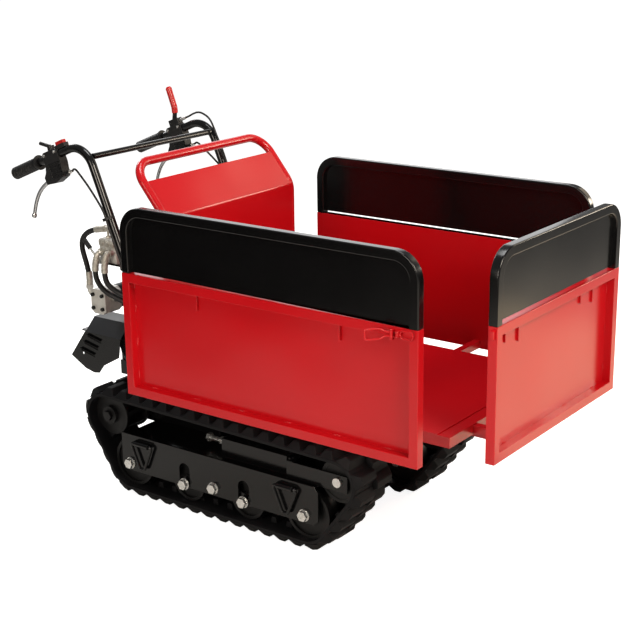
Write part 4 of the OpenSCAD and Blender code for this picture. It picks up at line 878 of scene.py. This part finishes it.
# %% Tread blocks and drive lugs
half = Matrix.Translation((0, TRACK_W / 4 * MM, 0))
inwards = Matrix.Scale(-1, 4, (0, 0, 1))
opposite = Matrix.Rotation(math.pi, 4, "Z")
for k in range(lug_count):
    stamp(track_shape, tread, station(k * lug_step) @ half)
    stamp(track_shape, tread, station((k + 0.5) * lug_step) @ half.inverted() @ opposite)
    stamp(track_shape, drive_lug, station(k * lug_step) @ inwards)
bmesh.ops.translate(track_shape, vec=(0, TRACK_Y * MM, 0), verts=track_shape.verts)
bmesh.ops.recalc_face_normals(track_shape, faces=track_shape.faces)
left_shape = mirrored(track_shape)
for name, shape in (("right_track", track_shape), ("left_track", left_shape)):
    made = piece(name + "_moulded", shape, [track_rubber], "chassis", (name,))
    print(name, "faces", len(made.data.polygons))

# %% [markdown]
# ## Screws, plugs and ribs
# Small fasteners make a machine look real. Each kind is one short bar, round or hexagonal, with its rim
# turned off by a bevel. It is stamped wherever one sits, with its foot in the surface that carries it.

# %% Stamps for fasteners


def bar(name, sides, radius, height, rim=1.0):
    """A short bar that stands on the origin, in millimetres."""
    shape = bmesh.new()
    bmesh.ops.create_cone(shape, cap_ends=True, segments=sides, radius1=radius * MM, radius2=radius * MM,
                          depth=height * MM)
    bmesh.ops.translate(shape, vec=(0, 0, height * MM / 2), verts=shape.verts)
    middle = height * MM / 2
    top = [e for e in shape.edges if all(v.co.z > middle for v in e.verts)]
    soften(shape, top, rim * MM)
    return mesh_from(name, shape)


def block_mesh(name, size, rim):
    """A block with all its edges rounded, its middle at the origin."""
    shape = bmesh.new()
    bmesh.ops.create_cube(shape, size=1)
    bmesh.ops.scale(shape, vec=Vector(size) * MM, verts=shape.verts)
    soften(shape, shape.edges[:], rim * MM)
    return mesh_from(name, shape)


def standing(spot, heading):
    """The place of a stamp whose foot is at spot and whose Z points along heading."""
    turn = Vector((0, 0, 1)).rotation_difference(Vector(heading))
    return Matrix.Translation(Vector(spot) * MM) @ turn.to_matrix().to_4x4()


# %% Tension screws
SCREW_LEVEL = 241.5
SHANK_FOOT = -106
HEAD_FOOT = -150
shank = bar("shank", 16, 8, 46, 1)
big_hex = bar("big_hex", 6, 15, 13, 1.2)
for side, y in (("right", TRACK_Y), ("left", -TRACK_Y)):
    screw = bmesh.new()
    stamp(screw, shank, standing((SHANK_FOOT, y, SCREW_LEVEL), (-1, 0, 0)))
    stamp(screw, big_hex, standing((HEAD_FOOT, y, SCREW_LEVEL), (-1, 0, 0)))
    made = piece(side + "_tension_screw", screw, [zinc_plate], "chassis")
    print(made.name, "faces", len(made.data.polygons))

# %% [markdown]
# A short plate beside each sprocket keeps mud off the gearbox. It carries on the frame's own splash plate.

# %% Rear splash plates
splash = block_mesh("splash", (68, 6, 84), 1)
SPLASH_PLACE = (-470, 177, 246)
for side, mirror in (("right", -1), ("left", 1)):
    plate = bmesh.new()
    x, y, z = SPLASH_PLACE
    stamp(plate, splash, Matrix.Translation(Vector((x, y * mirror, z)) * MM))
    made = piece(side + "_rear_splash", plate, [black_powder_coat], "chassis")
    print(made.name, "faces", len(made.data.polygons))

# %% [markdown]
# The valve is three cast slices bolted side by side, each with a hexagon plug, and a relief valve on top.

# %% Valve slices and plugs
slice_block = block_mesh("slice_block", (22, 51, 71), 3)
plug_hex = bar("plug_hex", 6, 8.5, 7, 1)
plug_disc = bar("plug_disc", 16, 10, 3, 0.6)
thin_stud = bar("thin_stud", 12, 4, 22, 1)
RELIEF = Vector((-572, -246, 838))
DISC_HEIGHT = Vector((0, 0, 3))
UP = (0, 0, 1)
slices = bmesh.new()
plugs = bmesh.new()
for x in (-577.5, -552.5, -527.5):
    stamp(slices, slice_block, Matrix.Translation(Vector((x, -247.5, 803.5)) * MM))
    for plug in (plug_disc, plug_hex):
        stamp(plugs, plug, standing((x, -272, 828), (0, -1, 0)))
stamp(plugs, plug_disc, standing(RELIEF, UP))
stamp(plugs, plug_hex, standing(RELIEF + DISC_HEIGHT, UP))
stamp(plugs, thin_stud, standing(RELIEF + DISC_HEIGHT, UP))
for y in (-262, -233):
    stamp(plugs, plug_hex, standing((-588, y, 832), (-1, 0, 0)))
piece("valve_slices", slices, [cast_aluminium], "chassis")
made = piece("valve_plugs", plugs, [dull_zinc], "chassis")
print("valve plug faces", len(made.data.polygons))

# %% [markdown]
# Each control housing is a die casting with ribs across its sides and a clamp cap held by two screws.

# %% Ribs and clamp screws of the housings
HALF_PERCH = 17
LOWEST_RIB = -69
RIB_PITCH = 11
RIB_COUNT = 5
rib_block = block_mesh("rib_block", (52, 6, 5), 1.2)
clamp_screw = bar("clamp_screw", 12, 5, 4, 1.2)
tilt = Matrix.Rotation(-GRIP_TILT, 4, "Y")
for side, mirror in (("right", 1), ("left", -1)):
    ribs = bmesh.new()
    screws = bmesh.new()
    for face in (-1, 1):
        for k in range(RIB_COUNT):
            spot = on_grip(5, face * HALF_PERCH, LOWEST_RIB + RIB_PITCH * k)
            spot.y *= mirror
            stamp(ribs, rib_block, Matrix.Translation(spot * MM) @ tilt)
        for x in (-26, 26):
            spot = on_grip(x, face * (HALF_PERCH - 0.5), 10)
            spot.y *= mirror
            stamp(screws, clamp_screw, standing(spot, (0, face * mirror, 0)))
    piece(side + "_housing_ribs", ribs, [black_powder_coat], "chassis")
    piece(side + "_clamp_screws", screws, [zinc_plate], "chassis")
print("ribs on each face of a housing", RIB_COUNT)

# %% [markdown]
# ## Small things that close the picture
# Behind each louvre of the belt guard a dark strip is set, a stand-in for the black belt and pulley and
# painted shade for the dark inside of the guard, so no daylight shows through.
# Nylon ties hold the control cables against the legs of the handlebar.

# %% Louvre backs: stand-in belt and painted shade
# Black strips behind the louvres: stand-ins for the belt and pulley, and painted shade for the dark inside
# of the guard.
strip_shape = bmesh.new()
bmesh.ops.create_cube(strip_shape, size=1)
bmesh.ops.scale(strip_shape, vec=(0.068, 0.0015, 0.014), verts=strip_shape.verts)
strip = mesh_from("strip", strip_shape)
backs = bmesh.new()
LOUVRES = 3
droop = Matrix.Rotation(math.radians(12), 4, "Y")
for k in range(LOUVRES):
    corner = Matrix.Translation(Vector((-694 - 17 * k, -246, 482 - 27 * k)) * MM)
    stamp(backs, strip, corner @ droop @ Matrix.Translation((0.032, 0, 0.0045)))
piece("louvre_belt_and_shade", backs, [black_plastic], "chassis")
print("louvre backs", LOUVRES)

# %% Cable ties
TIE_LEVELS = (925, 640)
TIE_SHIFT = Vector((-5, -4.5, 0))
tie_band = [(0, 19.4), (0.6, 20.6), (8.4, 20.6), (9, 19.4)]
for z in TIE_LEVELS:
    route = [(leg_middle(h) + TIE_SHIFT) * MM for h in (z + 20, z - 20)]
    for side, line in (("right", route), ("left", to_left(route))):
        sleeve(f"{side}_tie_{z}", line, 18, tie_band, black_plastic, "black_plastic")
print("cable ties at", TIE_LEVELS)

# %% [markdown]
# ## The other solids
# Small turned and cast pieces are already round, so they keep their own mesh and get their finish.

# %% Finish what is left
shown = [name for name in nodes if not nodes[name].hide_render]
for name in shown:
    nodes[name].data.materials.clear()
    nodes[name].data.materials.append(finish_of[slot_of[name]])
print("solids with a finish of their own", len(shown))

# %% [markdown]
# ## Floor and light
# The photograph has a white sweep, a large soft light in front of the bed and a dark side at the back
# right, which the near panel mirrors. A plane, area lights and one dark card do the same.

# %% Floor
FLOOR_HALF = 40
FLOOR_LEVEL = -0.0005
PAPER_GLOW = 0.9
floor_shape = bmesh.new()
bmesh.ops.create_grid(floor_shape, x_segments=1, y_segments=1, size=FLOOR_HALF)
floor_mesh = mesh_from("floor", floor_shape)
floor = bpy.data.objects.new("floor", floor_mesh)
scene.collection.objects.link(floor)
white_paper = coated("white_paper", "#D2D1CE", "#CECDCA", 900, (0.8, 0.9), 8.0, 0.01)
paper = white_paper.node_tree
seen = add(paper, "ShaderNodeLightPath").outputs["Is Camera Ray"]
glow = add(paper, "ShaderNodeMath", {0: seen, 1: PAPER_GLOW}, operation="MULTIPLY").outputs[0]
paper.links.new(glow, paper.nodes["Principled BSDF"].inputs["Emission Strength"])
floor_mesh.materials.append(white_paper)
floor.location.z = FLOOR_LEVEL

# %% Dark card


def card(name, near, far, height):
    """A standing dark sheet between two places on the floor, seen only in reflections."""
    shape = bmesh.new()
    bmesh.ops.create_grid(shape, x_segments=1, y_segments=1, size=0.5)
    run = Vector((*far, 0)) - Vector((*near, 0))
    bmesh.ops.scale(shape, vec=(run.length, height, 1), verts=shape.verts)
    upright = Matrix.Rotation(math.pi / 2, 3, "X")
    turned = Matrix.Rotation(math.atan2(run.y, run.x), 3, "Z")
    bmesh.ops.rotate(shape, cent=(0, 0, 0), matrix=turned @ upright, verts=shape.verts)
    middle = (Vector((*near, height)) + Vector((*far, 0))) / 2
    bmesh.ops.translate(shape, vec=middle, verts=shape.verts)
    mesh = mesh_from(name, shape)
    made = bpy.data.objects.new(name, mesh)
    scene.collection.objects.link(made)
    mesh.materials.append(black_felt)
    made.visible_camera = False


black_felt = coated("black_felt", "#101010", "#0C0C0C", 300, (0.9, 1.0), 6.0, 0.05, shine=0.1)
card("dark_card", (-1.7, -1.5), (-0.3, -3.2), 1.5)

# %% Lights


def soft_light(name, at, aim, size, radiance, colour="#FFFFFF"):
    """A square light. Its power follows from its size and from how bright its face looks."""
    data = bpy.data.lights.new(name, "AREA")
    data.shape = "SQUARE"
    data.size = size
    data.energy = radiance * math.pi * size * size
    data.color = linear(colour)[:3]
    light = bpy.data.objects.new(name, data)
    light.location = at
    light.rotation_euler = (Vector(aim) - Vector(at)).to_track_quat("-Z", "Y").to_euler()
    light.visible_camera = False
    scene.collection.objects.link(light)


# Each light: its name, place, aim, side in metres, the brightness of its face, and its colour.
soft_light("key_softbox", (3.9, -1.4, 3.3), (0.2, -0.1, 0.6), 1.6, 21.0, "#FFF2E0")
soft_light("near_softbox", (0.2, -4.6, 1.7), (0.2, -0.5, 0.6), 1.6, 11.0, "#FFF3E4")
soft_light("front_reflector", (2.0, 1.4, 0.02), (2.0, 1.4, 1), 1.7, 1.0, "#FFDDA8")
soft_light("top_softbox", (0.0, 0.0, 4.2), (0.2, 0, 0.5), 1.4, 9.0)
soft_light("rear_softbox", (-3.4, 1.0, 2.8), (-0.4, 0, 0.8), 1.2, 9.0)
soft_light("left_strip", (2.3, 3.2, 1.7), (-0.25, 0, 0.95), 0.7, 20.0, "#FFF0DA")
soft_light("left_softbox", (1.2, 3.6, 2.7), (-0.3, 0, 0.9), 1.8, 1.7, "#FFEBD0")
soft_light("back_wall", (-2.4, 3.2, 1.9), (0, 0, 0.9), 3.2, 1.5)

# %% White room
ROOM_LIGHT = 0.22
world = bpy.data.worlds.new("white_room")
world.use_nodes = True
room = world.node_tree
wall = room.nodes["Background"]
wall.inputs["Color"].default_value = linear("#FFFFFF")
ahead = add(room, "ShaderNodeLightPath").outputs["Is Camera Ray"]
look = add(room, "ShaderNodeMapRange", {"Value": ahead, "To Min": ROOM_LIGHT, "To Max": 1.0})
room.links.new(look.outputs["Result"], wall.inputs["Strength"])
scene.world = world
scene.view_settings.view_transform = "Standard"
print("lights", len(bpy.data.lights))
